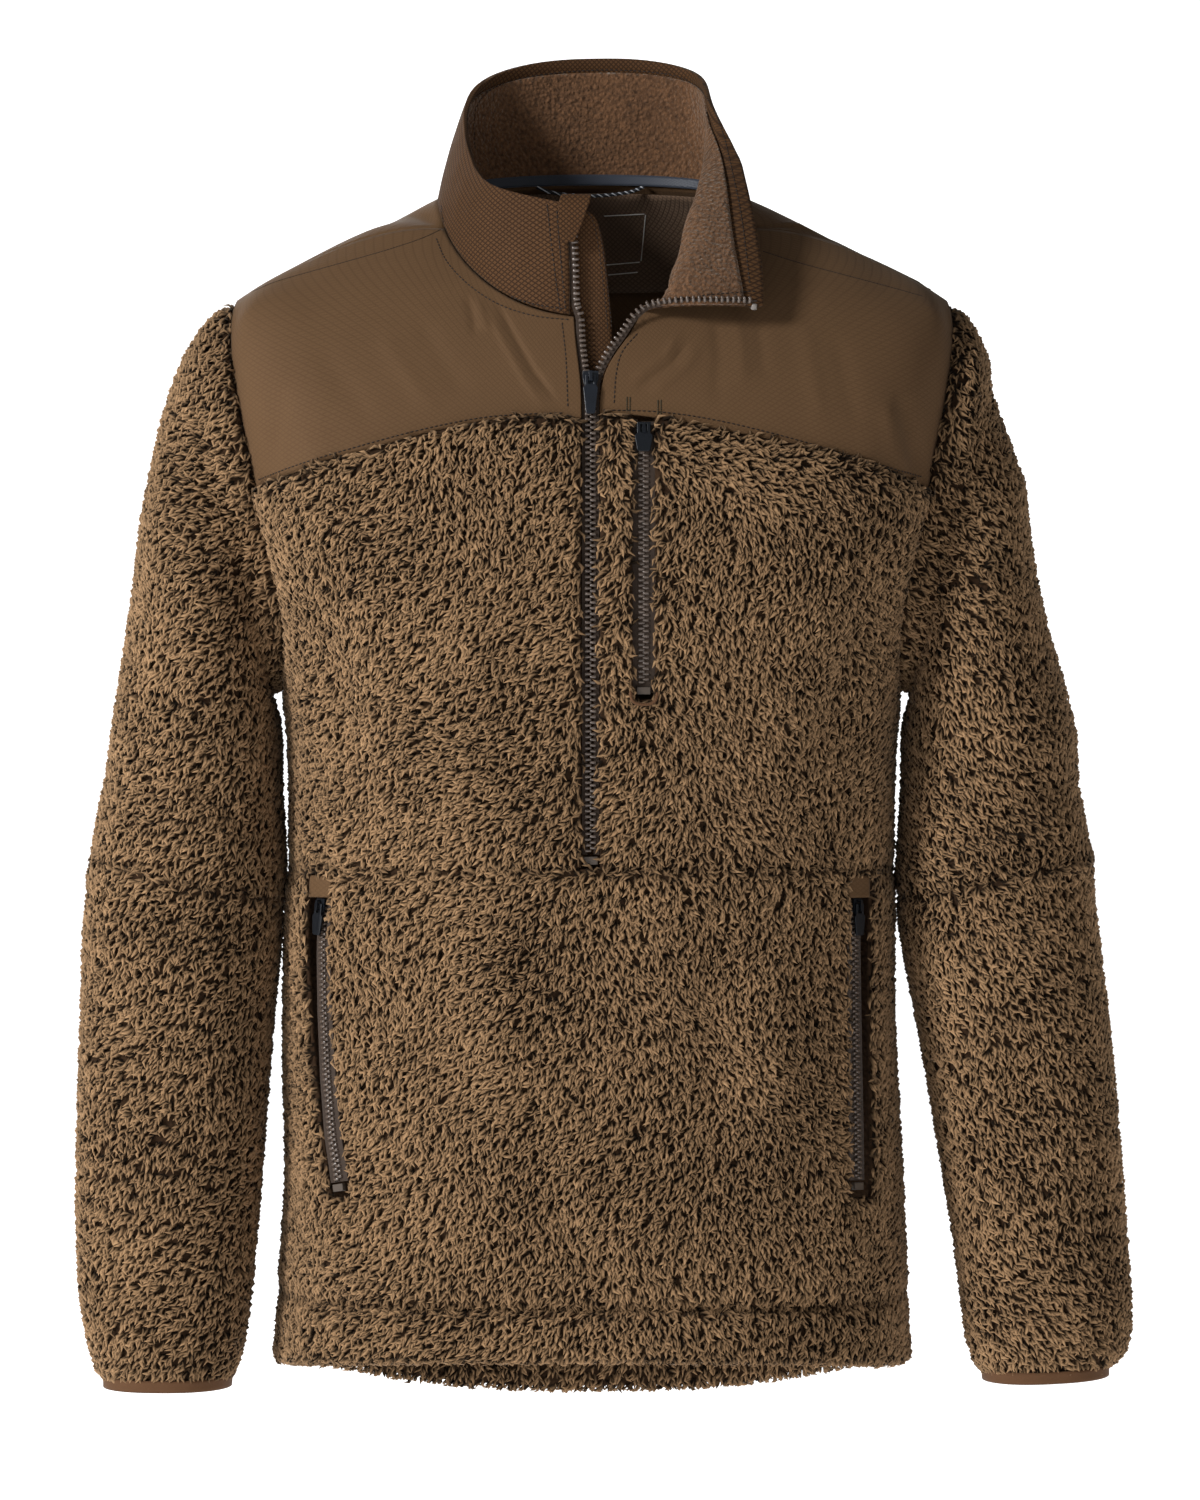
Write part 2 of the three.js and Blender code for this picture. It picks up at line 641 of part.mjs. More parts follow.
// One ring's inner face and outward directions, at the fractions of a turn from the top.
function sleeveRing(name, t, turns, drop = 0) {
  const rows = SLEEVE[name];
  const side = SIDE_OF[name];
  const value = (key) => between(rows, key, t);
  const outer = V(value('outX'), value('midY'), value('outZ') - drop);
  const inner = V(value('inX'), value('midY'), value('inZ') - drop);
  const across = outer.clone().sub(inner);
  const half = across.length() / 2;
  across.normalize();
  const middle = outer.clone().add(inner).multiplyScalar(0.5);
  const deep = value('deep');
  const power = 2 / SLEEVE_SQUARE;
  const at = (turn) => {
    const c = Math.cos(2 * Math.PI * turn);
    const s = Math.sin(2 * Math.PI * turn);
    const p = middle.clone().addScaledVector(across, Math.sign(c) * half * Math.abs(c) ** power);
    p.y -= Math.sign(s) * deep * Math.abs(s) ** power;
    return p;
  };
  const axis = across.clone().cross(V(0, -1, 0));
  return turns.map((turn) => {
    const n = at(turn + 0.012).sub(at(turn - 0.012)).cross(axis).normalize();
    return { p: at(turn).addScaledVector(n, -PILE), n };
  });
}

function armholeRing(name) {
  const arm = ARM[name];
  const loop = [
    ...arm.frontTop, ...arm.frontLow.slice(1),
    ...[...arm.backLow].reverse().slice(1), ...[...arm.backTop].reverse().slice(1, -1),
  ];
  const centre = V(SIDE_OF[name] * 205, 0, -184);
  return loop.map(([a, t], k) => {
    const n = bodyNormal(a, t);
    const p = bodyAt(a, t);
    const before = bodyAt(...loop[(k + loop.length - 1) % loop.length]);
    const after = bodyAt(...loop[(k + 1) % loop.length]);
    const away = after.sub(before).cross(n).normalize();
    if (away.dot(centre.clone().sub(p)) < 0) away.negate();
    return { p: p.addScaledVector(away, GAP), n };
  });
}

function turnsOf(ring) {
  const sums = [0];
  ring.forEach((place, k) => {
    const next = ring[(k + 1) % ring.length];
    sums.push(sums[k] + place.p.distanceTo(next.p));
  });
  return sums.slice(0, -1).map((s) => s / sums[sums.length - 1]);
}

function mixRing(a, b, f) {
  return a.map((place, k) => ({
    p: place.p.clone().lerp(b[k].p, f),
    n: place.n.clone().lerp(b[k].n, f).normalize(),
  }));
}

for (const name of ['right', 'left']) {
  const first = armholeRing(name);
  const turns = turnsOf(first);
  const ring = (t, drop) => sleeveRing(name, t, turns, drop);
  const upper = [first, mixRing(first, ring(0), 0.4)];
  for (const t of [0, 0.8, 2, 3, 4, 5, 6.2, 6.75, ELBOW]) upper.push(ring(t));
  cloth(`sleeve_upper_${name}`, sherpa(), upper, { out: pileOut, around: true });
  const lower = [];
  for (const t of [ELBOW, 7.25, 7.7, 9, 10.5, 12, 12.8, 13.4, CUFF]) lower.push(ring(t));
  cloth(`sleeve_lower_${name}`, sherpa(), lower, { out: pileOut, around: true });
  const binding = [ring(CUFF), ring(CUFF, BINDING)];
  cloth(`cuff_binding_${name}`, nylon(), binding, { out: () => PILE_EDGE, around: true });
}

// The collar from the zip on the wearer's right, round the back, to the opened wing on the
// wearer's left. turn is the angle round the neck, bend pulls the profile between the seam
// and the top edge.
const COLLAR = table('turn bendX bendY bendZ topX topY topZ', [
  [7, -12, -96, -46, -16, -96, -12.5], [25, -42, -90, -40, -36, -91, -8],
  [45, -67, -76, -27, -57, -75, -1], [60, -82, -54, -12, -68.5, -52, 8.5],
  [75, -88, -26, 6, -76, -22, 29], [90, -90, 4, 27, -79.5, 8, 51],
  [110, -88, 33, 40, -76, 32, 72], [135, -69, 55, 50, -60, 53, 87],
  [160, -34, 69, 56, -28, 64, 96], [180, 1, 72, 57, 2, 66, 97.5],
  [205, 42, 68, 55, 38, 64, 96], [230, 74, 50, 49, 67, 51, 87],
  [250, 80, 27, 38, 79, 28, 74], [270, 58, -4, 24, 85.5, -2, 53],
  [285, 45, -32, 10, 90, -22, 31], [300, 33, -62, -6, 95, -44, 4],
  [315, 27, -84, -31, 99.5, -64, -26], [330, 32, -106, -53, 103, -81, -52],
  [343, 54, -112, -74, 102.5, -91, -74.5],
]);
const COLLAR_LIFT = 2.1; // the collar's seam edge stands on the yokes
const COLLAR_TURNS = [
  7, 15, 26, 38, 50, 62, 75, 90, 106, 124, 143, 162, 181, 199, 217, 234, 249, 262, 274, 285,
  296, 307, 317, 327, 336, 343,
];
const INNER_FACE = 0.3 + FLEECE;

function collarPoint(turn, v) {
  const k = COLLAR.findIndex((row) => row.turn > turn);
  const a = k < 0 ? COLLAR.length - 2 : Math.max(k - 1, 0);
  const t = a + (turn - COLLAR[a].turn) / (COLLAR[a + 1].turn - COLLAR[a].turn);
  const angle = -turn;
  const seam = bodyAt(angle, 0).addScaledVector(bodyNormal(angle, 0), COLLAR_LIFT);
  seam.add(bodyAt(angle, 0).sub(bodyAt(angle, 0.1)).normalize().multiplyScalar(GAP));
  const bend = V(between(COLLAR, 'bendX', t), between(COLLAR, 'bendY', t), between(COLLAR, 'bendZ', t));
  const top = V(between(COLLAR, 'topX', t), between(COLLAR, 'topY', t), between(COLLAR, 'topZ', t));
  return seam.multiplyScalar((1 - v) ** 2)
    .addScaledVector(bend, 2 * v * (1 - v))
    .addScaledVector(top, v * v);
}

function collarAt(turn, v) {
  const low = Math.max(turn - 1, COLLAR[0].turn);
  const high = Math.min(turn + 1, COLLAR[COLLAR.length - 1].turn);
  const across = collarPoint(high, v).sub(collarPoint(low, v));
  const up = collarPoint(turn, v + 0.02).sub(collarPoint(turn, v - 0.02));
  return { p: collarPoint(turn, v), n: up.cross(across).normalize() };
}

const OUTER_STEPS = [0, 0.14, 0.3, 0.46, 0.62, 0.78, COLLAR_BORDER, COLLAR_BORDER + 0.025, 1];
const INNER_STEPS = [0, 0.14, 0.3, 0.46, 0.62, 0.78, COLLAR_BORDER - 0.015];
const collarGrid = (steps) => steps.map((v) => COLLAR_TURNS.map((turn) => collarAt(turn, v)));
cloth('collar_outer', nylon(), collarGrid(OUTER_STEPS), {
  out: shellOut,
  deep: (i, j) => (j > 6 ? INNER_FACE : 0),
});
cloth('collar_inner', fleece(), collarGrid(INNER_STEPS), {
  out: () => -GAP,
  deep: () => INNER_FACE,
});

// Tape along the inside of the back neck seam, and the facing below it.
const TAPE_TURNS = COLLAR_TURNS.slice(8, 17);
const NECK_TAPE = { low: -0.03, high: 0.065, under: INNER_FACE + 2 * GAP, thick: 0.8 };
cloth('neck_tape', paint(0x3e4555, 0.7), [
  TAPE_TURNS.map((turn) => collarAt(turn, NECK_TAPE.low)),
  TAPE_TURNS.map((turn) => collarAt(turn, NECK_TAPE.high)),
], {
  out: () => -NECK_TAPE.under,
  deep: () => NECK_TAPE.under + NECK_TAPE.thick,
});

const FACING_DEPTH = 3; // in rings of the body, at the middle of the back
const FACING_HALF = 72; // degrees to either side
const facingTurns = [];
for (let k = -6; k <= 6; k += 1) facingTurns.push(180 + FACING_HALF * (k / 6));
cloth('back_neck_facing', nylon(), [0.06, 0.4, 0.7, 1].map((f) => facingTurns.map((angle) => {
  const share = (angle - 180) / (FACING_HALF + 3);
  const t = FACING_DEPTH * f * Math.sqrt(1 - share * share);
  return { p: bodyAt(angle, t), n: bodyNormal(angle, t) };
})), { out: () => -3, deep: () => 3.8 });

// A round cord through the given points.
function cord(name, material, points, radius, round = 8) {
  const curve = new THREE.CatmullRomCurve3(points);
  const steps = 20;
  const frames = curve.computeFrenetFrames(steps, false);
  const position = [];
  const index = [];
  for (let j = 0; j <= steps; j += 1) {
    const middle = curve.getPointAt(j / steps);
    for (let i = 0; i < round; i += 1) {
      const a = (2 * Math.PI * i) / round;
      const p = middle.clone()
        .addScaledVector(frames.normals[j], Math.cos(a) * radius)
        .addScaledVector(frames.binormals[j], Math.sin(a) * radius);
      position.push(p.x, p.y, p.z);
    }
  }
  for (let j = 0; j < steps; j += 1) {
    for (let i = 0; i < round; i += 1) {
      const k = (i + 1) % round;
      const [a, b] = [j * round, (j + 1) * round];
      index.push(a + i, b + i, b + k, a + i, b + k, a + k);
    }
  }
  for (const [start, flip] of [[0, false], [steps * round, true]]) {
    for (let i = 1; i < round - 1; i += 1) {
      if (flip) index.push(start, start + i + 1, start + i);
      else index.push(start, start + i, start + i + 1);
    }
  }
  add(name, material, position, index);
}

const LOOP = { from: 159.5, to: 199, radius: 1.1, sag: 0.085, steps: 8 };
const loopPoints = [];
for (let k = 0; k <= LOOP.steps; k += 1) {
  const f = k / LOOP.steps;
  const hang = Math.sin(Math.PI * f) ** 0.7;
  const { p, n } = collarAt(lerp(LOOP.from, LOOP.to, f), 0.02 - LOOP.sag * hang);
  const under = NECK_TAPE.under + NECK_TAPE.thick + 2 * GAP + LOOP.radius + 0.6 * hang;
  loopPoints.push(p.addScaledVector(n, -under));
}
cord('hang_loop', paint(0x1b2028, 0.8), loopPoints, LOOP.radius);

// The storm flap behind the zip, and the garage folded over the collar's top in front of it.
const FLAP = table('z left right y', [
  [-17, -14, -1.5, -92.3], [-23, -15, 5, -91.8], [-45, -15, 8.5, -90.8], [-66, -15, 10.5, -87.8],
  [-85, -15, 12.5, -85], [-103, -18, 13.5, -93.4], [-132, -18, 12.5, -103.2],
  [-166, -18, 10, -111.4], [-205, -18, 9, -116.6], [-283, -18, 9, -120.6],
  [-352, -18, 9, -116.8], [-404, -18, 9, -113.6],
]);
cloth('storm_flap', nylon(), FLAP.map((row, j) => [0, 0.33, 0.67, 1].map((f) => {
  const near = FLAP[Math.max(j - 1, 0)];
  const next = FLAP[Math.min(j + 1, FLAP.length - 1)];
  const n = V(0, -(near.z - next.z), next.y - near.y).normalize();
  return { p: V(lerp(row.left, row.right, f), row.y, row.z), n: n.y > 0 ? n.negate() : n };
})), { out: () => 0.5, deep: () => 0.5 });

const GARAGE = table('z y left right outY outZ', [
  [-13.5, -92.4, -15.5, -1, 1, 0.15], [-9.3, -93.4, -17, -0.5, 0.6, 0.8],
  [-8.2, -96, -18, 0, 0, 1], [-10.5, -98.8, -19.5, -0.5, -0.8, 0.6],
  [-18, -99.5, -20.5, -3, -1, 0], [-28, -99.7, -20, -6.5, -1, 0], [-36.5, -99.6, -18.5, -10.5, -1, 0],
]);
cloth('zip_garage', nylon(), GARAGE.map((row) => [0, 0.33, 0.67, 1].map((f) => ({
  p: V(lerp(row.left, row.right, f), row.y, row.z),
  n: V(0, row.outY, row.outZ).normalize(),
}))), { out: () => 0.9 });

// Zip tape with its row of teeth, along edge places { e, d, n }: e on the fabric's edge, d
// towards the teeth and n out of the cloth.
const TAPE_PROFILE = { low: -0.7, high: 0.1, toothFrom: 2.7, toothLow: -1.5, toothHigh: 1.5 };

function zipTape(name, places, reach) {
  const { low, high, toothFrom, toothLow, toothHigh } = TAPE_PROFILE;
  const outline = [
    [GAP, low], [toothFrom, low], [toothFrom, toothLow], [reach, toothLow],
    [reach, toothHigh], [toothFrom, toothHigh], [toothFrom, high], [GAP, high],
  ];
  strip(name, paint(0x57504b, 0.6), places, outline);
}

function strip(name, material, places, outline) {
  const position = [];
  const index = [];
  const m = outline.length;
  for (const { e, d, n } of places) {
    for (const [a, b] of outline) {
      const p = e.clone().addScaledVector(d, a).addScaledVector(n, b);
      position.push(p.x, p.y, p.z);
    }
  }
  for (let j = 0; j < places.length - 1; j += 1) {
    for (let i = 0; i < m; i += 1) {
      const k = (i + 1) % m;
      const [a, b] = [j * m, (j + 1) * m];
      index.push(a + i, a + k, b + k, a + i, b + k, b + i);
    }
  }
  const flat = THREE.ShapeUtils.triangulateShape(outline.map(([x, y]) => new THREE.Vector2(x, y)), []);
  const end = (places.length - 1) * m;
  for (const [a, b, c] of flat) {
    index.push(a, c, b);
    index.push(end + a, end + b, end + c);
  }
  add(name, material, position, index);
}

function framed(points, normals, side) {
  return points.map((e, k) => {
    const ahead = points[Math.min(k + 1, points.length - 1)];
    const behind = points[Math.max(k - 1, 0)];
    const up = ahead.clone().sub(behind).normalize();
    const n = normals[k].clone();
    const d = up.clone().cross(n).normalize().multiplyScalar(-side);
    return { e, d, n: n.addScaledVector(up, -n.dot(up)).normalize() };
  });
}

const TAPE_BOTTOM = -404;
for (const name of ['right', 'left']) {
  const side = SIDE_OF[name];
  const edge = ZIP_MID + side * ZIP_HALF;
  const heights = [TAPE_BOTTOM, ...CHEST_ROWS.slice(3).map((row) => row.zip)];
  const places = [
    ...heights.map((z) => seen(edge, z)),
    ...YOKE_EDGE[name].slice(0, name === 'left' ? -1 : undefined).map((row) => seen(row.x, row.z)),
  ];
  const body = framed(
    places.map(([a, t]) => bodyAt(a, t)),
    places.map(([a, t]) => bodyNormal(a, t)),
    side,
  );
  // The tape lifts off the yoke's corner on its way to the collar's edge.
  [[2, 0.5], [1, 1.7]].forEach(([back, lift]) => {
    const q = body[body.length - back];
    q.e.addScaledVector(q.n, lift).addScaledVector(q.d, 0.4 * lift);
  });
  const end = name === 'right' ? COLLAR_TURNS[0] : COLLAR_TURNS[COLLAR_TURNS.length - 1];
  const steps = name === 'right'
    ? [0.07, 0.25, 0.5, 0.74, 0.92]
    : [0.08, 0.15, 0.24, 0.36, 0.5, 0.64, 0.78, 0.9, 0.97];
  const collarEnd = steps.map((v) => collarAt(end, v));
  const wing = framed(collarEnd.map((q) => q.p), collarEnd.map((q) => q.n), side);
  zipTape(`zip_tape_${name}`, [...body, ...wing], ZIP_HALF - GAP / 2);
}

// A place of the cloth with its directions: lateral to the wearer's left, up and out.
function placed(p, n, up) {
  const out = n.clone().normalize();
  const rise = up.clone().addScaledVector(out, -up.dot(out)).normalize();
  return { p, out, rise, lateral: rise.clone().cross(out) };
}

// A flat outline of [x, z] in a place's frame, from n0 to n1, with an optional window.
function plate(frame, outline, n0, n1, window = []) {
  const shape = new THREE.Shape(outline.map(([x, z]) => new THREE.Vector2(x, z)));
  if (window.length) shape.holes.push(new THREE.Path(window.map(([x, z]) => new THREE.Vector2(x, z))));
  const geometry = new THREE.ExtrudeGeometry(shape, { depth: n1 - n0, bevelEnabled: false });
  const basis = new THREE.Matrix4().makeBasis(frame.lateral, frame.rise, frame.out);
  geometry.translate(0, 0, n0);
  return geometry.applyMatrix4(basis.setPosition(frame.p));
}

function block(frame, x0, x1, z0, z1, n0, n1) {
  return plate(frame, [[x0, z0], [x1, z0], [x1, z1], [x0, z1]], n0, n1);
}

const wasm = await Module();
wasm.setup();

function solidOf(geometry) {
  geometry.deleteAttribute('normal');
  geometry.deleteAttribute('uv');
  const merged = mergeVertices(geometry, 1e-4);
  return new wasm.Manifold(new wasm.Mesh({
    numProp: 3,
    vertProperties: new Float32Array(merged.getAttribute('position').array),
    triVerts: new Uint32Array(merged.index.array),
  }));
}

function addJoined(name, material, geometries) {
  const joined = geometries.map(solidOf).reduce((a, b) => a.add(b)).getMesh();
  add(name, material, Array.from(joined.vertProperties), Array.from(joined.triVerts));
}

// A slider's plate with an arch, and its pull whose bar turns under the arch. The frame's
// place is the pull's axis, dropped onto the cloth.
const SLIDER = { half: 4.3, top: 3.6, bottom: 6.6, low: 1.8, high: 3.0 };
const ARCH = { half: 1, top: 2.6, bottom: 3.8, wall: 1, rise: 6, roof: 0.9 };
const PULL = { axis: 4.15, thick: 1, bar: 0.5, rail: 3.1, window: 1.6, windowEnd: 5.2 };
const PULL_PAINT = () => paint(0x232d3b, 0.45);

function sliderAndPull(name, frame, { length, wide, narrow, scale = 1 }) {
  const { half, top, bottom, low, high } = SLIDER;
  const k = scale;
  const foot = [
    [-half, top], [-half, -1], [-half * 0.72, -bottom], [half * 0.72, -bottom], [half, -1], [half, top],
  ];
  const arch = (z0, z1, n0, n1) => block(frame, -ARCH.half, ARCH.half, z0, z1, n0, n1);
  addJoined(`${name}_slider`, PULL_PAINT(), [
    plate(frame, foot.map(([x, z]) => [x * k, z]), low, high),
    arch(ARCH.top - ARCH.wall, ARCH.top, high - 0.2, ARCH.rise),
    arch(-ARCH.bottom, -ARCH.bottom + ARCH.wall, high - 0.2, ARCH.rise),
    arch(-ARCH.bottom, ARCH.top, ARCH.rise - ARCH.roof, ARCH.rise),
  ]);
  const { axis, thick, bar, rail, window, windowEnd } = PULL;
  const outline = [
    [-rail, bar], [-rail, -windowEnd], [-wide / 2, -windowEnd - 1.5], [-narrow / 2, -length + 0.8],
    [-narrow / 2 + 0.7, -length], [narrow / 2 - 0.7, -length], [narrow / 2, -length + 0.8],
    [wide / 2, -windowEnd - 1.5], [rail, -windowEnd], [rail, bar],
  ];
  const hole = [[-window, -bar], [-window, 0.4 - windowEnd], [window, 0.4 - windowEnd], [window, -bar]];
  const geometry = plate(frame, outline, axis - thick / 2, axis + thick / 2, hole);
  addJoined(`${name}_pull`, PULL_PAINT(), [geometry]);
}

const UP = V(0, 0, 1);
function onFront(x, z) {
  const place = seen(x, z);
  return placed(bodyAt(...place), bodyNormal(...place), UP);
}

// The front zip's slider where the halves part, its pull and the stop at the waist.
const FRONT_AXIS_Z = -118.5;
sliderAndPull('front_zip', onFront(ZIP_MID, FRONT_AXIS_Z), {
  length: 21.5, wide: 8.8, narrow: 5.6, scale: 1.1,
});
const stopFrame = onFront(ZIP_MID, TAPE_BOTTOM - 3);
addJoined('front_zip_stop', paint(0x4a4440, 0.5), [block(stopFrame, -4.3, 4.3, -2.2, 2.5, -1.3, 2)]);

// Pocket zips, laid along the middle of the opening between two columns of a panel: the
// row numbers of the opening, the fraction of it where the tape starts and ends, the
// slider's axis and the pull's length.
const POCKET_TEETH = { half: 2.7, low: -1.4, high: 1.2 };

function openingOf(left, right) {
  const line = left.map((a, k) => {
    const b = right[k];
    return {
      p: a.p.clone().add(b.p).multiplyScalar(0.5),
      d: b.p.clone().sub(a.p),
      n: a.n.clone().add(b.n),
    };
  });
  return (z) => {
    let k = 1;
    while (k < line.length - 1 && line[k].p.z > z) k += 1;
    const [a, b] = [line[k - 1], line[k]];
    const f = (a.p.z - z) / (a.p.z - b.p.z);
    const d = a.d.clone().lerp(b.d, f);
    return {
      e: a.p.clone().lerp(b.p, f),
      half: d.length() / 2 - GAP,
      d: d.normalize(),
      n: a.n.clone().lerp(b.n, f).normalize(),
      up: a.p.clone().sub(b.p).normalize(),
    };
  };
}

function pocketZip(name, left, right, { from, to, axis, pull }) {
  const at = openingOf(left, right);
  const heights = [from, ...left.map((q) => q.p.z).filter((z) => z < from - 4 && z > to + 4), to];
  const places = heights.map(at);
  const half = Math.min(...places.map((q) => q.half));
  const { half: tooth, low, high } = POCKET_TEETH;
  strip(`${name}_tape`, paint(0x57504b, 0.6), places, [
    [-half, -0.7], [-tooth, -0.7], [-tooth, low], [tooth, low], [tooth, -0.7], [half, -0.7],
    [half, 0.1], [tooth, 0.1], [tooth, high], [-tooth, high], [-tooth, 0.1], [-half, 0.1],
  ]);
  const q = at(axis);
  sliderAndPull(name, placed(q.e, q.n, q.up), { length: pull, wide: 8.6, narrow: 6.2 });
  const foot = at(to - 2.7);
  const stop = block(placed(foot.e, foot.n, foot.up), -4, 4, -2.2, 2.2, -1.2, 1.8);
  addJoined(`${name}_stop`, paint(0x4a4440, 0.5), [stop]);
  return at;
}

const column = (grid, i, rows) => onBody(rows.map((j) => [grid[j][i]])).map((row) => row[0]);
const upTo = (from, to) => Array.from({ length: to - from + 1 }, (_, k) => from + k);

const chestRows = upTo(CHEST_SLOT_ROW, chestGrid.left.length - 1).reverse();
pocketZip(
  'chest_zip',
  column(chestGrid.left, CHEST_SLOT, chestRows),
  column(chestGrid.left, CHEST_SLOT + 1, chestRows),
  { from: -144, to: -303, axis: -149.5, pull: 15 },
);

const GARAGE_PATCH = { from: -417, to: -430.5, stand: 3.3, thick: 1.2 };
const HAND_ZIP = { from: -431.5, to: -602, axis: -434.5, pull: 17 };
const slotRows = upTo(SLOT_TOP, SLOT_END);
handCells.forEach((cell, k) => {
  const name = k === 0 ? 'pocket_zip_right' : 'pocket_zip_left';
  const sides = [column(frontRows, cell, slotRows), column(frontRows, cell + 1, slotRows)];
  const at = pocketZip(name, ...sides, HAND_ZIP);
  const { from, to, stand, thick } = GARAGE_PATCH;
  const patch = [from, lerp(from, to, 0.5), to].map((z) => [-1, -0.4, 0.4, 1].map((x) => {
    const q = at(z);
    return { p: q.e.addScaledVector(q.d, x * q.half).addScaledVector(q.n, stand), n: q.n };
  }));
  cloth(`${name}_garage`, nylon(), patch, { out: (i) => (i === 0 || i === 3 ? thick * 0.7 : thick) });
});

export default group;
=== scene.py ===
# %% [markdown]
# # A sherpa pullover, dressed over its CAD frame
# The frame holds every cut piece of the pullover as a plain closed wall in its worn shape.
# This lesson turns each wall into what it is: curly sherpa, crisp woven nylon, brushed
# microfleece, moulded zips and rows of sewing. Everything stays in the frame's metres.

# %% Load the frame
import math

import bmesh
import bpy
import numpy as np
from mathutils import Matrix, Vector
from mathutils.bvhtree import BVHTree
from mathutils.kdtree import KDTree


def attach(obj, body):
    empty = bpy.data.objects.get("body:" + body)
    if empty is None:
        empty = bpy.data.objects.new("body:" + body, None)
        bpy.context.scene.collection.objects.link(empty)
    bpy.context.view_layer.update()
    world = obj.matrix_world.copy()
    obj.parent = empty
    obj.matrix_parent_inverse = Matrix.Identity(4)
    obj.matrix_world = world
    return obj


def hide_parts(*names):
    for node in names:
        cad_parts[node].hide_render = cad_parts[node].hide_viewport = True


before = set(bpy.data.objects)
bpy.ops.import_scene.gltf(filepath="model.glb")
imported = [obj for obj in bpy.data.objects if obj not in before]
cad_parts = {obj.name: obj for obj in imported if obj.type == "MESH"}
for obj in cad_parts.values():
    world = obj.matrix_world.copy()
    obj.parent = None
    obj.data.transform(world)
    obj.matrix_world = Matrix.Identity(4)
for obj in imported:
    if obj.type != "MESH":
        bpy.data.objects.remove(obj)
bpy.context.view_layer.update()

MM = 0.001

# %% [markdown]
# ## Camera, backdrop and light
# A garment filled out by a hidden form is shot from a few metres away at chest height, so
# its sides don't splay. A long lens at three metres does that. The light is soft and comes
# from the wearer's right, and the backdrop sweeps up so that no horizon shows.

# %% Camera
def placed(name, data):
    """A new object in the scene. Its origin stays at the frame's own."""
    made = bpy.data.objects.new(name, data)
    bpy.context.scene.collection.objects.link(made)
    return made


CAMERA_AT = Vector((5, -3000, -341)) * MM
FRAME_WIDTH, FRAME_HEIGHT = 1200, 1500  # the picture's pixels
PIXEL = 0.62 * MM  # what one pixel takes in at the garment's middle plane
SENSOR = 36
camera = placed("camera", bpy.data.cameras.new("camera"))
camera.location = CAMERA_AT
camera.rotation_euler = (math.radians(90), 0, 0)
camera.data.sensor_width = SENSOR
camera.data.lens = SENSOR * -CAMERA_AT.y / (FRAME_HEIGHT * PIXEL)
bpy.context.scene.camera = camera
print("camera lens", round(camera.data.lens, 1), "mm")

# %% Light
CHEST_MIDDLE = Vector((0, 0, -0.35))


def soft_light(name, place, size, watts):
    data = bpy.data.lights.new(name, "AREA")
    data.shape = "DISK"
    data.size = size
    data.energy = watts
    lamp = placed(name, data)
    lamp.location = place
    lamp.rotation_euler = (CHEST_MIDDLE - Vector(place)).to_track_quat("-Z", "Y").to_euler()


soft_light("key", (-2.5, -1.75, 1.0), 0.8, 104)
soft_light("fill", (2.3, -2.3, 0.1), 1.8, 4)
soft_light("back", (-0.6, 2.6, 1.2), 1.6, 28)
world = bpy.data.worlds.new("studio")
bpy.context.scene.world = world
world.use_nodes = True
sky = world.node_tree.nodes["Background"].inputs
sky["Color"].default_value = (1, 1, 1, 1)
sky["Strength"].default_value = 0.16
bpy.context.scene.view_settings.view_transform = "Standard"

# %% [markdown]
# ## Shader maths
# A material's pattern is arithmetic on numbers that change over the surface. This class
# wraps a socket so that such arithmetic reads as Python, and adds a Math node for each
# operator. Every other node comes from its one method, `node`.

# %% A socket that can be reckoned with
class Wire:
    def __init__(self, tree, plug=None):
        self.tree = tree
        self.plug = plug

    def node(self, kind, settings=None, sockets=None, out=0):
        made = self.tree.nodes.new(kind)
        for key, value in (settings or {}).items():
            setattr(made, key, value)
        for key, value in (sockets or {}).items():
            if isinstance(value, Wire):
                self.tree.links.new(value.plug, made.inputs[key])
            else:
                made.inputs[key].default_value = value
        return Wire(self.tree, made.outputs[out])

    def maths(self, operation, *values):
        return self.node("ShaderNodeMath", {"operation": operation}, dict(enumerate(values)))

    def __add__(self, other):
        return self.maths("ADD", self, other)

    def __radd__(self, other):
        return self.maths("ADD", other, self)

    def __sub__(self, other):
        return self.maths("SUBTRACT", self, other)

    def __rsub__(self, other):
        return self.maths("SUBTRACT", other, self)

    def __mul__(self, other):
        return self.maths("MULTIPLY", self, other)

    def __rmul__(self, other):
        return self.maths("MULTIPLY", other, self)

    def __pow__(self, other):
        return self.maths("POWER", self, other)

    def __abs__(self):
        return self.maths("ABSOLUTE", self)


def linear(red, green, blue):
    """A colour as it looks on a screen, 0 to 255, as the light values a shader works in."""
    def value(c):
        c /= 255
        return c / 12.92 if c <= 0.04045 else ((c + 0.055) / 1.055) ** 2.4
    return value(red), value(green), value(blue)


def material(name, **fixed):
    """A new material, the wire it grows from, and a way to link the shader's sockets."""
    made = bpy.data.materials.new(name)
    made.use_nodes = True
    tree = made.node_tree
    shader = tree.nodes["Principled BSDF"]
    for key, value in fixed.items():
        socket = shader.inputs[key.replace("_", " ")]
        socket.default_value = (*value, 1) if isinstance(value, tuple) else value

    def link(**varying):
        for key, wire in varying.items():
            tree.links.new(wire.plug, shader.inputs[key.replace("_", " ")])

    return made, Wire(tree), link


def place_of(root):
    return root.node("ShaderNodeTexCoord", out="Object")


def noise(root, scale, detail=2.0, rough=0.5):
    sockets = {"Vector": place_of(root), "Scale": scale, "Detail": detail, "Roughness": rough}
    return root.node("ShaderNodeTexNoise", {}, sockets)


def cells(root, scale):
    sockets = {"Vector": place_of(root), "Scale": scale}
    return root.node("ShaderNodeTexVoronoi", {"feature": "SMOOTH_F1"}, sockets)


def clamped(root, share):
    return root.node("ShaderNodeClamp", sockets={"Value": share})


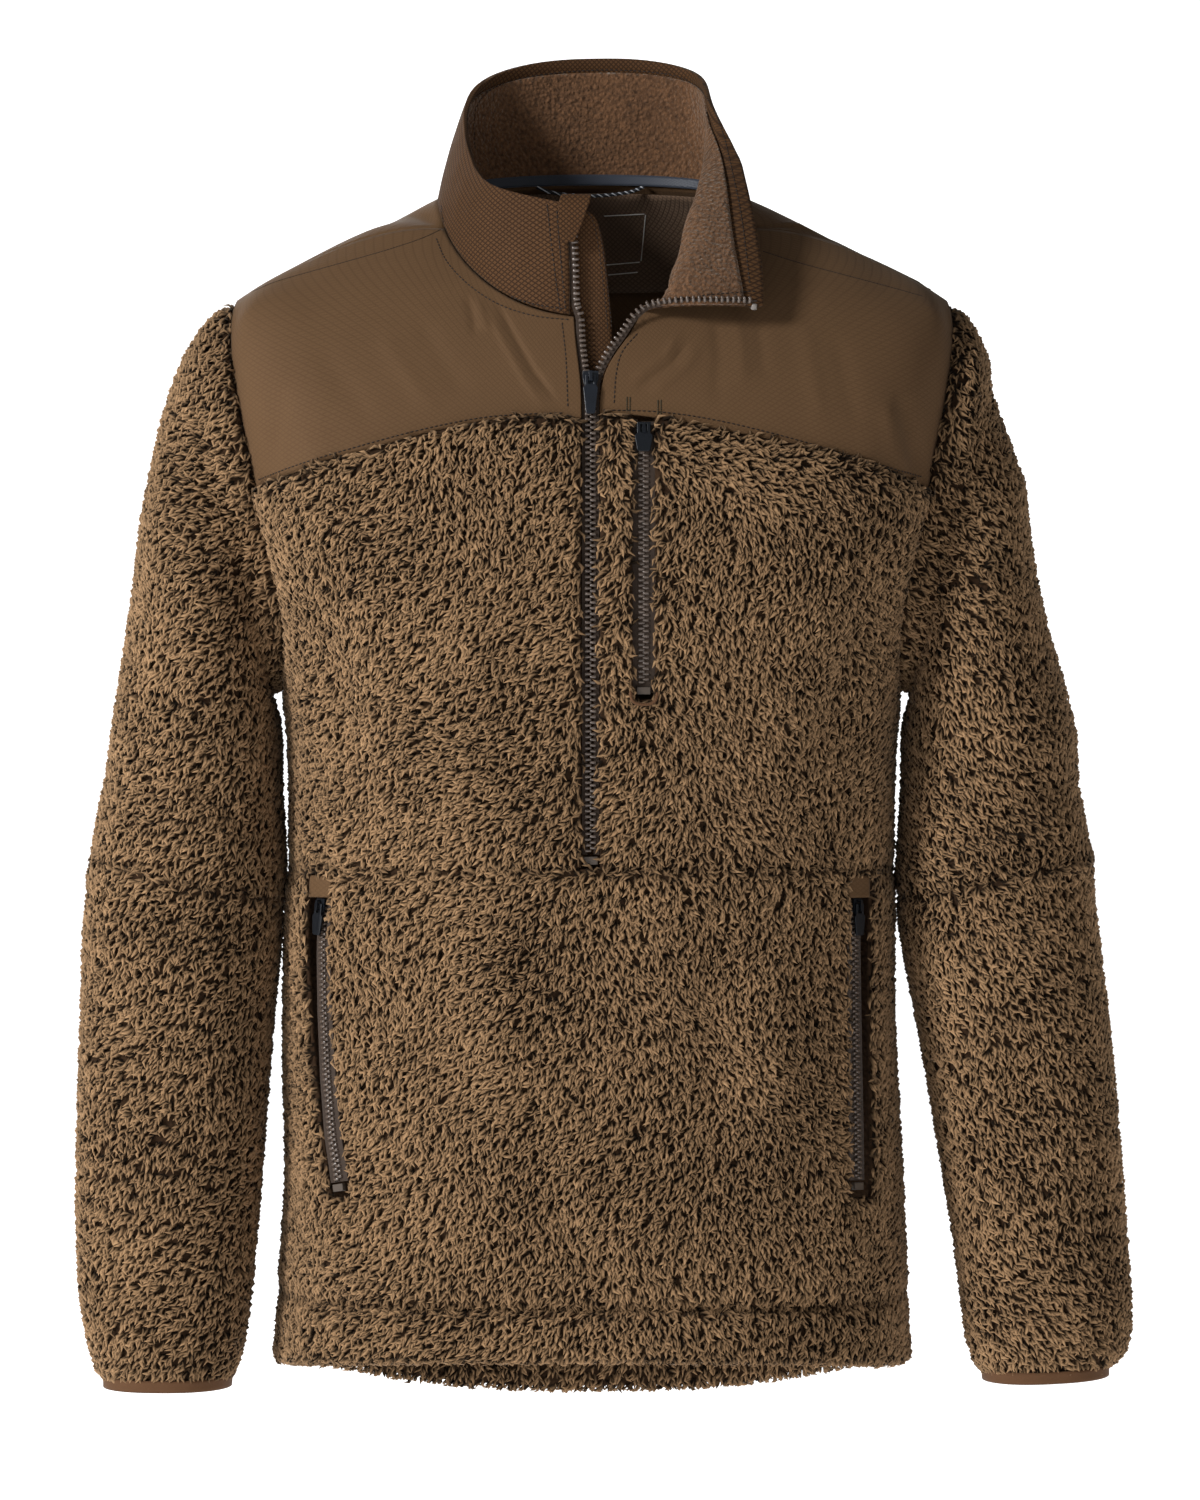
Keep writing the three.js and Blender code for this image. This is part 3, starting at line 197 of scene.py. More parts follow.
def parts_of(root, vector):
    """The x, y and z of a vector's wire."""
    split = root.node("ShaderNodeSeparateXYZ", sockets={"Vector": vector})
    return [Wire(root.tree, split.plug.node.outputs[k]) for k in range(3)]


def mixed(root, share, low, high):
    """A colour between two, each a wire or a plain (red, green, blue)."""
    low, high = [c if isinstance(c, Wire) else (*c, 1) for c in (low, high)]
    settings = {"data_type": "RGBA"}
    return root.node("ShaderNodeMix", settings, {0: share, 6: low, 7: high}, out=2)


def bumped(root, height, strength, depth):
    sockets = {"Height": height, "Strength": strength, "Distance": depth}
    return root.node("ShaderNodeBump", {}, sockets)


# %% The backdrop
def backdrop():
    bm = bmesh.new()
    bmesh.ops.create_grid(bm, x_segments=1, y_segments=40, size=1)
    floor, near, run, bend, wall, half_width = -0.86, -3.1, 8.4, 0.9, 1.1, 3.6
    for v in bm.verts:
        t = (v.co.y + 1) / 2 * (run + bend * math.pi / 2 + wall)
        angle = min(max(t - run, 0) / bend, math.pi / 2)
        y = near + min(t, run) + bend * math.sin(angle)
        z = floor + bend * (1 - math.cos(angle)) + max(0, t - run - bend * math.pi / 2)
        v.co = Vector((v.co.x * half_width, y, z))
    mesh = bpy.data.meshes.new("backdrop")
    bm.to_mesh(mesh)
    bm.free()
    mesh.shade_smooth()
    sweep = placed("backdrop", mesh)
    paper, root, link = material("paper", Base_Color=(0.9, 0.9, 0.9), Roughness=0.9,
                                 Emission_Color=(1.0, 1.0, 1.0), Emission_Strength=0.8)
    grain = noise(root, 9.0)
    link(Base_Color=mixed(root, grain, (0.88, 0.88, 0.88), (0.92, 0.92, 0.92)))
    mesh.materials.append(paper)
    print("backdrop", len(mesh.polygons), "faces")


backdrop()

# %% [markdown]
# ## From a wall of the frame to cloth
# Each cut piece in the frame is a closed wall of flat facets. Its doubles are merged and its
# triangles paired, then its faces are told apart: a sharp edge ends the outer face, the inner
# face and the thin rim between them. The corners get a crease, and subdivision rounds the rest.

# %% Sums on rows of points
def unit(vectors):
    return vectors / np.maximum(np.linalg.norm(vectors, axis=1), 1e-6)[:, None]


def lengths_of(points):
    """How far along a line each of its points lies."""
    steps = np.linalg.norm(np.diff(points, axis=0), axis=1)
    return np.concatenate([[0], np.cumsum(steps)])


def beside(co, a, b):
    """The nearest place from a to b for each point, as a share of the way, and its distance."""
    share = np.clip(((co - a) @ (b - a)) / ((b - a) @ (b - a)), 0, 1)
    return share, np.linalg.norm(co - (a + share[:, None] * (b - a)), axis=1)


def points_of(mesh):
    co = np.empty(len(mesh.vertices) * 3)
    mesh.vertices.foreach_get("co", co)
    return co.reshape(-1, 3)


def put_points(mesh, co):
    mesh.vertices.foreach_set("co", np.ascontiguousarray(co).ravel())
    mesh.update()


def copies(name, co, triangles):
    """One smooth mesh of many copies: co has every copy's points, triangles those of one."""
    n, each = co.shape[:2]
    faces = (triangles[None] + (np.arange(n) * each)[:, None, None]).reshape(-1, 3)
    made = bpy.data.meshes.new(name)
    made.vertices.add(n * each)
    made.loops.add(len(faces) * 3)
    made.polygons.add(len(faces))
    made.vertices.foreach_set("co", co.ravel())
    made.loops.foreach_set("vertex_index", faces.ravel())
    made.polygons.foreach_set("loop_start", np.arange(0, len(faces) * 3, 3))
    made.update(calc_edges=True)
    made.validate()
    made.shade_smooth()
    print(name, n, "copies", len(faces), "triangles")
    return made


# %% Read a wall
SHARP = math.radians(50)
SAME_PLACE = 0.02 * MM


def merged(node):
    bm = bmesh.new()
    bm.from_mesh(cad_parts[node].data)
    bmesh.ops.remove_doubles(bm, verts=bm.verts, dist=SAME_PLACE)
    bmesh.ops.join_triangles(bm, faces=bm.faces, angle_face_threshold=math.radians(35),
                             angle_shape_threshold=math.radians(70))
    return bm


def sides(bm):
    """The wall's faces in groups that meet without a sharp edge, the largest first."""
    left, groups = set(bm.faces), []
    while left:
        group, queue = [], [left.pop()]
        while queue:
            face = queue.pop()
            group.append(face)
            for edge in face.edges:
                if len(edge.link_faces) == 2 and edge.calc_face_angle(0) < SHARP:
                    for other in edge.link_faces:
                        if other in left:
                            left.remove(other)
                            queue.append(other)
        groups.append(group)
    return sorted(groups, key=lambda g: -sum(f.calc_area() for f in g))


def middle_of(co, arm):
    """The x and y of the body's middle, or of that sleeve's, at the height of each point."""
    if arm:
        return np.stack([np.interp(-co[:, 2], *line) for line in arm], axis=1)
    return np.zeros((len(co), 2))


def outward(co, arm):
    """Away from the middle of the body, or of the sleeve on that side, for each point."""
    away = co * ((1, 1, 0) if arm else (0.55, 1, 0))
    away[:, :2] -= middle_of(co, arm)
    return unit(away)


ARM_HEIGHTS = [0.08, 0.2, 0.32, 0.42, 0.5, 0.62, 0.73]
ARMS = {
    "right": [(ARM_HEIGHTS, [-0.215, -0.232, -0.24, -0.252, -0.258, -0.264, -0.262]),
              (ARM_HEIGHTS, [0, -0.003, -0.008, -0.013, -0.017, -0.026, -0.034])],
    "left": [(ARM_HEIGHTS, [0.213, 0.226, 0.237, 0.252, 0.259, 0.276, 0.281]),
             (ARM_HEIGHTS, [0, -0.003, -0.008, -0.013, -0.017, -0.027, -0.034])],
}


def arm_of(node):
    if "sleeve" in node or "cuff" in node:
        return ARMS["right" if "right" in node else "left"]
    return None


# %% Outer face, corners and subdivision
OUTER, INNER, HEM = range(3)  # material numbers that tell a wall's faces apart


def mark_outer(bm, node):
    """Tells the outer side's faces from the rest, and returns them."""
    two = sides(bm)[:2]
    arm = arm_of(node)

    def facing(group):
        middles = np.array([f.calc_center_median() for f in group])
        normals = np.array([f.normal * f.calc_area() for f in group])
        return (normals * outward(middles, arm)).sum()

    outer = max(two, key=facing)
    for face in bm.faces:
        face.material_index = INNER
    for face in outer:
        face.material_index = OUTER
    return outer


def crease_corners(bm):
    layer = bm.edges.layers.float.get("crease_edge") or bm.edges.layers.float.new("crease_edge")
    for edge in bm.edges:
        if len(edge.link_faces) == 2 and edge.calc_face_angle(0) >= SHARP:
            edge[layer] = 1


def object_of(name, bm, smooth=True):
    mesh = bpy.data.meshes.new(name)
    bm.to_mesh(mesh)
    bm.free()
    if smooth:
        mesh.shade_smooth()
    return placed(name, mesh)


def hand_over(piece, node=None, body="garment"):
    """Attaches a piece to the body that it goes with, and hides the frame node it stands for."""
    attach(piece, body)
    if node:
        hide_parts(node)


def subdivided(made, levels):
    """The same object with its subdivision applied."""
    modifier = made.modifiers.new("rounded", "SUBSURF")
    modifier.levels = modifier.render_levels = levels
    modifier.boundary_smooth = "PRESERVE_CORNERS"
    bpy.context.view_layer.update()
    ready = made.evaluated_get(bpy.context.evaluated_depsgraph_get())
    mesh = bpy.data.meshes.new_from_object(ready)
    made.modifiers.clear()
    made.data = mesh
    mesh.name = made.name
    mesh.shade_smooth()
    return made


# %% [markdown]
# ## Folds placed one by one
# Cloth over a body creases where it is pulled, and those places are few and known. Each fold
# here is a line across the garment seen from the front or from behind, with a height, below
# zero for a trough, and a width. A fold fades out at its ends and to its sides.

# %% Fold tables
# each row: height and half width in mm, then the line's points x, z in mm
FRONT_FOLDS = [
    (-1.3, 2.2, [(-59, -68), (-48, -90), (-35, -114), (-20, -134)]),
    (0.8, 2.6, [(-64, -72), (-53, -95), (-40, -119), (-27, -138)]),
    (-1.2, 2.2, [(-76, -66), (-72, -80), (-70, -92)]),
    (0.9, 2.4, [(-69, -68), (-65, -80), (-62, -90)]),
    (0.9, 6, [(-128, -86), (-112, -112), (-92, -140)]),
    (-0.8, 6, [(-108, -78), (-92, -104), (-74, -132)]),
    (-0.8, 7, [(-168, -92), (-150, -122), (-128, -148)]),
    (0.9, 2.6, [(53, -90), (44, -104), (22, -120)]),
    (-1.2, 2.2, [(60, -94), (49, -109), (26, -126)]),
    (0.9, 3, [(66, -98), (54, -114), (34, -128)]),
    (-0.9, 4, [(74, -76), (77, -104), (75, -136)]),
    (0.9, 4, [(86, -74), (90, -100), (90, -126)]),
    (-0.8, 4, [(100, -74), (102, -96), (104, -120)]),
    (0.8, 6, [(128, -80), (132, -112), (138, -146)]),
    (-0.7, 6, [(148, -88), (152, -116), (160, -150)]),
    (-2.2, 6, [(186, -126), (192, -150), (199, -176)]),
    (1.6, 6, [(176, -130), (182, -156), (188, -178)]),
    (-1.8, 6, [(-186, -120), (-190, -146), (-196, -172)]),
    (-2.5, 11, [(-168, -250), (-150, -300), (-138, -360)]),
    (2.0, 12, [(-146, -240), (-128, -296), (-112, -350)]),
    (-2.5, 11, [(168, -240), (152, -296), (142, -350)]),
    (2.0, 12, [(148, -236), (130, -290), (116, -340)]),
    (2.2, 13, [(-60, -250), (-72, -320), (-78, -390)]),
    (-1.8, 12, [(-90, -410), (-84, -480), (-96, -560)]),
    (2.0, 13, [(-60, -430), (-52, -520), (-60, -620)]),
    (-2.0, 13, [(70, -420), (78, -500), (70, -600)]),
    (2.0, 13, [(104, -440), (112, -520), (104, -610)]),
    (-2.2, 10, [(-30, -600), (-10, -640), (26, -650)]),
    (2.4, 12, [(-170, -640), (-130, -668), (-80, -672)]),
    (2.2, 12, [(170, -630), (120, -664), (74, -670)]),
    (-3.0, 4, [(-215, -673), (0, -674), (215, -673)]),
    (1.4, 10, [(-215, -692), (0, -694), (215, -692)]),
]
BACK_FOLDS = [
    (-1.6, 9, [(-90, -62), (-60, -100), (-40, -150)]),
    (1.6, 9, [(-120, -76), (-92, -116), (-72, -168)]),
    (-1.6, 9, [(96, -66), (66, -104), (42, -148)]),
    (1.5, 10, [(126, -80), (96, -120), (76, -164)]),
    (-1.2, 10, [(160, -96), (136, -140), (120, -180)]),
    (-1.3, 10, [(-166, -98), (-142, -142), (-126, -178)]),
    (-3.0, 14, [(-168, -300), (-110, -352), (-40, -372)]),
    (2.6, 14, [(-160, -340), (-104, -386), (-36, -402)]),
    (-2.8, 14, [(168, -290), (118, -348), (52, -376)]),
    (2.6, 14, [(158, -336), (104, -384), (48, -410)]),
    (-3.0, 15, [(-120, -430), (-40, -452), (60, -444), (130, -418)]),
    (2.4, 15, [(-110, -470), (-30, -492), (64, -484), (126, -458)]),
    (-2.0, 14, [(-60, -520), (-70, -590), (-60, -660)]),
    (2.0, 14, [(60, -530), (74, -600), (66, -680)]),
]
SLEEVE_FOLDS = [
    (3.6, 11, [(231, -84), (222, -128), (208, -184)]),
    (-3.2, 10, [(252, -104), (240, -150), (226, -206)]),
    (2.6, 11, [(266, -160), (250, -206), (232, -252)]),
    (-3.4, 9, [(306, -356), (262, -372), (206, -392)]),
    (3.4, 9, [(296, -374), (248, -396), (196, -424)]),
    (-3.2, 8, [(312, -420), (262, -436), (204, -444)]),
    (2.6, 9, [(310, -446), (264, -460), (212, -468)]),
    (-2.2, 11, [(300, -500), (272, -540), (240, -566)]),
    (2.0, 12, [(296, -560), (276, -610), (250, -640)]),
    (-2.4, 10, [(318, -640), (290, -662), (254, -668)]),
    (2.4, 9, [(316, -672), (288, -690), (254, -694)]),
    (3.2, 11, [(-228, -92), (-218, -136), (-206, -190)]),
    (-3.0, 10, [(-250, -112), (-236, -160), (-224, -212)]),
    (2.4, 11, [(-270, -178), (-252, -226), (-232, -266)]),
    (-3.0, 9, [(-300, -352), (-256, -366), (-206, -374)]),
    (3.2, 9, [(-300, -376), (-250, -388), (-202, -396)]),
    (-3.6, 8, [(-308, -430), (-246, -441), (-217, -444), (-188, -443)]),
    (2.8, 9, [(-306, -456), (-262, -464), (-208, -462)]),
    (-2.2, 11, [(-304, -520), (-268, -556), (-230, -580)]),
    (2.0, 12, [(-300, -590), (-270, -630), (-232, -650)]),
    (-2.4, 10, [(-300, -660), (-268, -672), (-232, -668)]),
]


def fold_heights(co, table):
    """How far each point is moved outwards by the folds it lies on, in metres."""
    moved = np.zeros(len(co))
    flat = co[:, [0, 2]] / MM
    for height, width, line in table:
        line = np.array(line, float)
        length = lengths_of(line)
        best = np.full(len(co), np.inf)
        share = np.zeros(len(co))
        for k in range(len(line) - 1):
            f, gap = beside(flat, line[k], line[k + 1])
            near = gap < best
            best[near] = gap[near]
            share[near] = ((length[k] + f * (length[k + 1] - length[k])) / length[-1])[near]
        fade = np.clip(np.sin(np.pi * np.clip(share, 0.02, 0.98)) * 1.6, 0, 1)
        moved += height * MM * fade * np.exp(-((best / width) ** 2))
    return moved


# where the cloth fills out or draws in at the sides, as it hangs: side of the garment, the way
# that the cloth faces, height z, how far up and down it reaches, how far it moves, all in mm
ARM_SWELLS = [(-1, 1, -430, 60, 6), (-1, 1, -560, 110, 5), (-1, 1, -700, 70, 5),
              (1, -1, -430, 60, 6), (1, -1, -600, 120, 3), (1, -1, -720, 50, 5),
              (1, 1, -328, 48, 9), (1, 1, -440, 46, -3), (-1, -1, -110, 60, 3)]
BODY_SWELLS = [(-1, -1, -435, 50, 2), (1, 1, -435, 50, 2), (-1, -1, -600, 70, -5),
               (1, 1, 72, 40, -10)]
ARM_LIFT, FRONT_LIFT, BACK_LIFT = 9, 2.5, 7.5  # mm that the lowest edges hang higher


def settle(co, away, arm):
    """The slow swells of the cloth and the lift of its lowest edges, in metres."""
    moved = np.zeros(len(co))
    z = co[:, 2] / MM
    for side, way, height, reach, swell in ARM_SWELLS if arm else BODY_SWELLS:
        facing = np.clip(way * away[:, 0], 0, 1) * (co[:, 0] * side > 0)
        moved += swell * MM * facing * np.exp(-(((z - height) / reach) ** 2))
    low = np.clip((-z - 615) / 130, 0, 1)
    back = np.clip(co[:, 1] / (120 * MM) + 0.3, 0, 1)
    lift = ARM_LIFT if arm else FRONT_LIFT + (BACK_LIFT - FRONT_LIFT) * back
    return away * moved[:, None] + np.stack([0 * z, 0 * z, lift * low * MM], axis=1)


def fold(made, node, depth=1.0):
    """Lays the folds into a piece, both faces of the wall moving together."""
    co = points_of(made.data)
    arm = arm_of(node)
    away = outward(co, arm)
    co = co + settle(co, away, arm)
    if arm:
        moved = fold_heights(co, SLEEVE_FOLDS)
    else:
        front, back = fold_heights(co, FRONT_FOLDS), fold_heights(co, BACK_FOLDS)
        moved = np.where(co[:, 1] < 0, front, back)
        moved *= np.clip(np.abs(away[:, 1]) * 1.6, 0, 1)
    put_points(made.data, co + away * moved[:, None] * depth)


print("folds", len(FRONT_FOLDS) + len(BACK_FOLDS) + len(SLEEVE_FOLDS))

# %% [markdown]
# ## Sherpa backing
# Sherpa is a knit whose long pile is curled into locks. The frame's wall is as thick as the
# pile reaches, so the backing is made by drawing its outer face in, less at the seams, where
# sewing holds the pile down. The locks that are set on it later reach back out to the wall.

# %% Draw the outer face in
PILE_SHARE = 0.66  # of the wall's thickness, up to the whole pile
WHOLE_PILE = 8 * MM
SEWN_PILE = 2.6 * MM  # at the edges, where it is sewn down
SLEEVE_END, INTO_BINDING = 7 * MM, 2.5 * MM
FOLD_DEPTH = 1.8  # thick sherpa shows its folds more than nylon does


def is_hem(co):
    """The turned-up hem shows its pile on the inside too, below its stitch line."""
    return co.z < -0.676 - 0.05 * max(0.0, min(1.0, (co.y + 0.11) / 0.22))


def draw_in(bm, outer):
    outer_set = set(outer)
    rest = [f for f in bm.faces if f not in outer_set]
    order = {v: k for k, v in enumerate(bm.verts)}
    tree = BVHTree.FromPolygons([v.co for v in bm.verts],
                                [[order[v] for v in f.verts] for f in rest])
    corners = {v for f in rest for v in f.verts}
    bm.normal_update()
    moved = {}
    for v in {v for f in outer for v in f.verts}:
        normal = sum((f.normal for f in v.link_faces if f in outer_set), Vector()).normalized()
        deep = SEWN_PILE
        if v not in corners:
            hit = tree.ray_cast(v.co - normal * 0.2 * MM, -normal, 0.02)
            deep = min(hit[3], WHOLE_PILE) if hit[0] else WHOLE_PILE
        moved[v] = v.co - normal * deep * PILE_SHARE
    for v, co in moved.items():
        v.co = co


def backing(node):
    bm = merged(node)
    outer = mark_outer(bm, node)
    crease_corners(bm)
    draw_in(bm, outer)
    if node in ("front_lower", "back_body"):
        for face in bm.faces:
            if face.material_index == INNER and is_hem(face.calc_center_median()):
                face.material_index = HEM
    made = subdivided(object_of(node + "_knit", bm), 1)
    fold(made, node, FOLD_DEPTH)
    if "lower_" in node:  # the sleeve goes into its binding
        co = points_of(made.data)
        near = co[:, 2].min() + SLEEVE_END - co[:, 2]
        co[:, 2] -= INTO_BINDING * np.clip(near / (5 * MM), 0, 1)
        put_points(made.data, co)
    return made


# %% [markdown]
# ## One lock of pile
# A lock is a pinch of wool that bends over and curls in an S. It starts as a small flat grid
# whose far end is drawn to a point. Six triangles are enough, because there are more than a
# hundred thousand, and the light on the ridge along its middle makes it look round.

# %% The lock's own grid
def lock_grid():
    """Points (across -1 to 1, along 0 to 1) and triangles of one lock."""
    bm = bmesh.new()
    bmesh.ops.create_grid(bm, x_segments=2, y_segments=2, size=1)
    tip = [v for v in bm.verts if v.co.y > 0.99]
    bmesh.ops.pointmerge(bm, verts=tip, merge_co=(0, 1, 0))
    bmesh.ops.triangulate(bm, faces=bm.faces)
    bm.verts.index_update()
    points = np.array([(v.co.x, (v.co.y + 1) / 2) for v in bm.verts])
    corners = np.array([[v.index for v in f.verts] for f in bm.faces])
    bm.free()
    return points, corners


LOCK_POINTS, LOCK_FACES = lock_grid()
print("lock", len(LOCK_POINTS), "points", len(LOCK_FACES), "triangles")

# %% [markdown]
# ## Setting the locks
# Roots are spread over the backing's triangles by area. Each lock lies along the flow of its
# panel, which runs down and outwards, with its own turn, length, curl and tone. The pile's
# material reads two attributes that are kept on every point: `light`, a painted shade that grows
# from root to tip and from a lock's flanks to its ridge and is lower near seams, and `tone`, one
# value for each lock.

# %% Where locks are rooted
EVEN_STEPS = 0.7548777, 0.5698403  # steps over a square that never bunch up


def roots_on(mesh, per_lock, rng):
    """Points and normals spread over the faces that carry pile."""
    mesh.calc_loop_triangles()
    tri = np.empty(len(mesh.loop_triangles) * 3, int)
    mesh.loop_triangles.foreach_get("vertices", tri)
    tri = tri.reshape(-1, 3)
    which = np.empty(len(mesh.loop_triangles), int)
    mesh.loop_triangles.foreach_get("material_index", which)
    tri = tri[np.isin(which, [OUTER, HEM])]
    co = points_of(mesh)
    normals = np.empty(len(mesh.vertices) * 3)
    mesh.vertex_normals.foreach_get("vector", normals)
    normals = normals.reshape(-1, 3)
    a, b, c = co[tri[:, 0]], co[tri[:, 1]], co[tri[:, 2]]
    area = np.linalg.norm(np.cross(b - a, c - a), axis=1) / 2
    total = np.cumsum(area / per_lock)
    count = int(total[-1])
    step = np.arange(count)
    places = step + rng.uniform(0.15, 0.85, count)
    pick = np.clip(np.searchsorted(total, places), 0, len(tri) - 1)
    u, v = (step * EVEN_STEPS[0]) % 1, (step * EVEN_STEPS[1]) % 1
    flip = u + v > 1
    u[flip], v[flip] = 1 - u[flip], 1 - v[flip]
    w = np.stack([1 - u - v, u, v], axis=1)[..., None]
    root = (co[tri[pick]] * w).sum(axis=1)
    face = np.cross(b - a, c - a)
    normal = (normals[tri[pick]] * w).sum(axis=1)
    normal = np.where((normal * face[pick]).sum(axis=1, keepdims=True) < 0, -normal, normal)
    return root, unit(normal)


def nearest_edge(mesh, root):
    """How far each root is from the edge of its panel's outer face, and which way it is."""
    owners = {}
    for face in mesh.polygons:
        for v in face.vertices:
            owners.setdefault(v, set()).add(face.material_index)
    rim = [v for v, found in owners.items() if INNER in found and found & {OUTER, HEM}]
    tree = KDTree(len(rim))
    for v in rim:
        tree.insert(mesh.vertices[v].co, v)
    tree.balance()
    edge = np.array([tree.find(co)[0] for co in root])
    return np.linalg.norm(edge - root, axis=1), unit(edge - root)


def waves(co, seed):
    """A slow, even wandering from -1 to 1 over the garment."""
    rng = np.random.default_rng(seed)
    out = np.zeros(len(co))
    for _ in range(6):
        direction = rng.normal(size=3)
        direction *= rng.uniform(14, 46) / np.linalg.norm(direction)
        out += np.sin(co @ direction * 2 + rng.uniform(0, 6.28)) / 3  # any phase at all
    return out


# %% Shape every lock
HEM_ROWS = {"front_lower_pile": -673, "back_body_pile": -682}  # z of the turned hem's stitches
LENGTH, HALF_WIDTH, CURL = (5.8, 9.4), (1.15, 1.75), (0.7, 2.0)  # mm, the least and the most
HEIGHT, MORE_INSIDE = 3.0, 2.1  # mm at a panel's edge, and what its middle adds
TURN = 0.42  # radians, for a lock on its own and for its neighbourhood


def locks(name, mesh, per_lock, flow, seed):
    rng = np.random.default_rng(seed)
    root, normal = roots_on(mesh, per_lock, rng)
    inside, edgeward = nearest_edge(mesh, root)
    # locks by the hem's stitch row sit lower and get painted shade, as at a seam
    if name in HEM_ROWS:
        inside = np.minimum(inside, np.abs(root[:, 2] - HEM_ROWS[name] * MM))
    n = len(root)
    lean = flow(root) + edgeward * 1.2 * np.clip(1 - inside / (9 * MM), 0, 1)[:, None]
    turn = TURN * waves(root, seed) + rng.normal(0, TURN, n)
    lean = unit(lean - normal * (lean * normal).sum(axis=1)[:, None])
    side = np.cross(normal, lean)
    cos, sin = np.cos(turn)[:, None], np.sin(turn)[:, None]
    lean, side = lean * cos + side * sin, side * cos - lean * sin
    length = rng.uniform(*LENGTH, n)[:, None] * MM
    wide = rng.uniform(*HALF_WIDTH, n)[:, None] * MM
    high = (HEIGHT + MORE_INSIDE * np.clip(inside / (11 * MM), 0, 1)) * MM
    high = (high * rng.uniform(0.55, 1.0, n))[:, None]
    curl = rng.uniform(*CURL, n)[:, None] * rng.choice([-1, 1], n)[:, None] * MM
    across, along = LOCK_POINTS[:, 0][None], LOCK_POINTS[:, 1][None]
    taper = 1 - 0.25 * along - 0.35 * (1 - along) ** 2
    sway = curl * np.sin(np.pi * along) + wide * across * taper
    rise = high * (np.sin(np.pi * (0.06 + 0.76 * along)) - 0.15)
    rise = rise + wide * (1 - across ** 2) * taper * 1.15 - 0.6 * MM
    step = (along - 0.25) * length
    co = (root[:, None] + lean[:, None] * step[..., None] + side[:, None] * sway[..., None]
          + normal[:, None] * rise[..., None])
    made = copies(name, co, LOCK_FACES)
    # painted shade: darker at the root and on the flanks, and darker within 6 mm of a panel's edge
    # or the hem's stitch row
    light = (0.2 + 0.8 * np.sin(np.pi * (0.05 + 0.6 * along))) * (1 - 0.55 * across ** 2)
    light = (light * (0.76 + 0.24 * np.clip(inside / (6 * MM), 0, 1))[:, None]).ravel()
    tone = np.repeat(rng.normal(0, 1, n)[:, None], len(LOCK_POINTS), axis=1).ravel()
    for key, value in (("light", light), ("tone", tone)):
        made.attributes.new(key, "FLOAT", "POINT").data.foreach_set("value", value)
    return placed(name, made)


# %% Flow of the pile
def leaning(degrees):
    """A direction down the garment, turned to the wearer's left by so many degrees."""
    turn = np.radians(degrees)
    return np.stack([np.sin(turn), np.zeros(len(turn)), -np.cos(turn)], axis=1)


def flow_body(co):
    turn = np.interp(co[:, 0] / MM, [-180, -60, 0, 80, 180], [-46, -38, -16, 10, 24])
    seam = np.clip((co[:, 2] / MM + 205) / 40, 0, 1) * np.clip(co[:, 0] / MM / 60, 0, 1)
    return leaning(np.where(co[:, 1] > 0, turn * 0.6, turn + 55 * seam))


def flow_sleeve(co):
    return leaning(np.where(co[:, 0] < 0, -38.0, 34.0) + 10 * np.sin(co[:, 2] * 14))


# %% [markdown]
# ## Sherpa colours
# Wool holds its dye unevenly, so each lock has its own tone. The dark roots and flanks are
# painted shade, where little light reaches down between the locks, and the tips are painted
# paler. Patches a hand wide are a little lighter or redder.

# %% Sherpa materials
# the wool's own colour, then the dark end that the painted shade of roots, flanks and seams, and
# darker tone, mix towards
WOOL = linear(172, 137, 101)
SHADED_WOOL = linear(20, 13, 7)


def pile_material():
    made, root, link = material("sherpa_pile", Roughness=0.8, Sheen_Weight=0.12,
                                Sheen_Roughness=0.5, Sheen_Tint=(1.0, 0.86, 0.7),
                                Specular_IOR_Level=0.04)
    light = root.node("ShaderNodeAttribute", {"attribute_name": "light"}, out=2)
    tone = root.node("ShaderNodeAttribute", {"attribute_name": "tone"}, out=2)
    patch = noise(root, 16.0, 3.0)
    strand = noise(root, 420.0, 2.0, 0.6)
    # painted shade from `light`, plus each lock's tone and the patches and strands of real colour
    share = light ** 1.9 + tone * 0.13 + (patch - 0.5) * 0.6 + (strand - 0.5) * 0.5 - 0.06
    link(Base_Color=mixed(root, clamped(root, share), SHADED_WOOL, WOOL),
         Normal=bumped(root, strand, 0.35, 0.6 * MM))
    return made


def knit_material():
    made, root, link = material("sherpa_backing", Roughness=0.95, Specular_IOR_Level=0.1)
    curl = cells(root, 300.0)
    patch = noise(root, 22.0, 3.0)
    # the backing's dark brown is partly its own colour and partly painted shade for the gaps
    # between the locks; darker between the curls is painted shade in their recesses
    share = curl * 0.7 + (patch - 0.5) * 0.6 + 0.1
    link(Base_Color=mixed(root, share, linear(60, 43, 29), linear(34, 23, 15)),
         Normal=bumped(root, 1 - curl, 0.8, 1.6 * MM))
    return made


PILE = pile_material()
KNIT = knit_material()

# %% [markdown]
# ## The sherpa panels
# Eight panels are cut from sherpa: two chest panels, the lower front, the back and four sleeve
# parts. Each gives a backing and the pile that goes with it. The back carries fewer locks for
# its size, because it is so large.

# %% Make backing and pile
# node: flat width and length of the cut, its area, and mm2 for each lock
PANELS = {
    "chest_right": (0.30, 0.29, 0.062, 6.4),
    "chest_left": (0.30, 0.29, 0.062, 6.4),
    "front_lower": (0.50, 0.40, 0.15, 6.4),
    "back_body": (0.56, 0.66, 0.30, 9.8),
    "sleeve_upper_right": (0.42, 0.37, 0.11, 7.2),
    "sleeve_upper_left": (0.42, 0.37, 0.11, 7.2),
    "sleeve_lower_right": (0.34, 0.36, 0.10, 7.2),
    "sleeve_lower_left": (0.34, 0.36, 0.10, 7.2),
}


made_pieces = {}


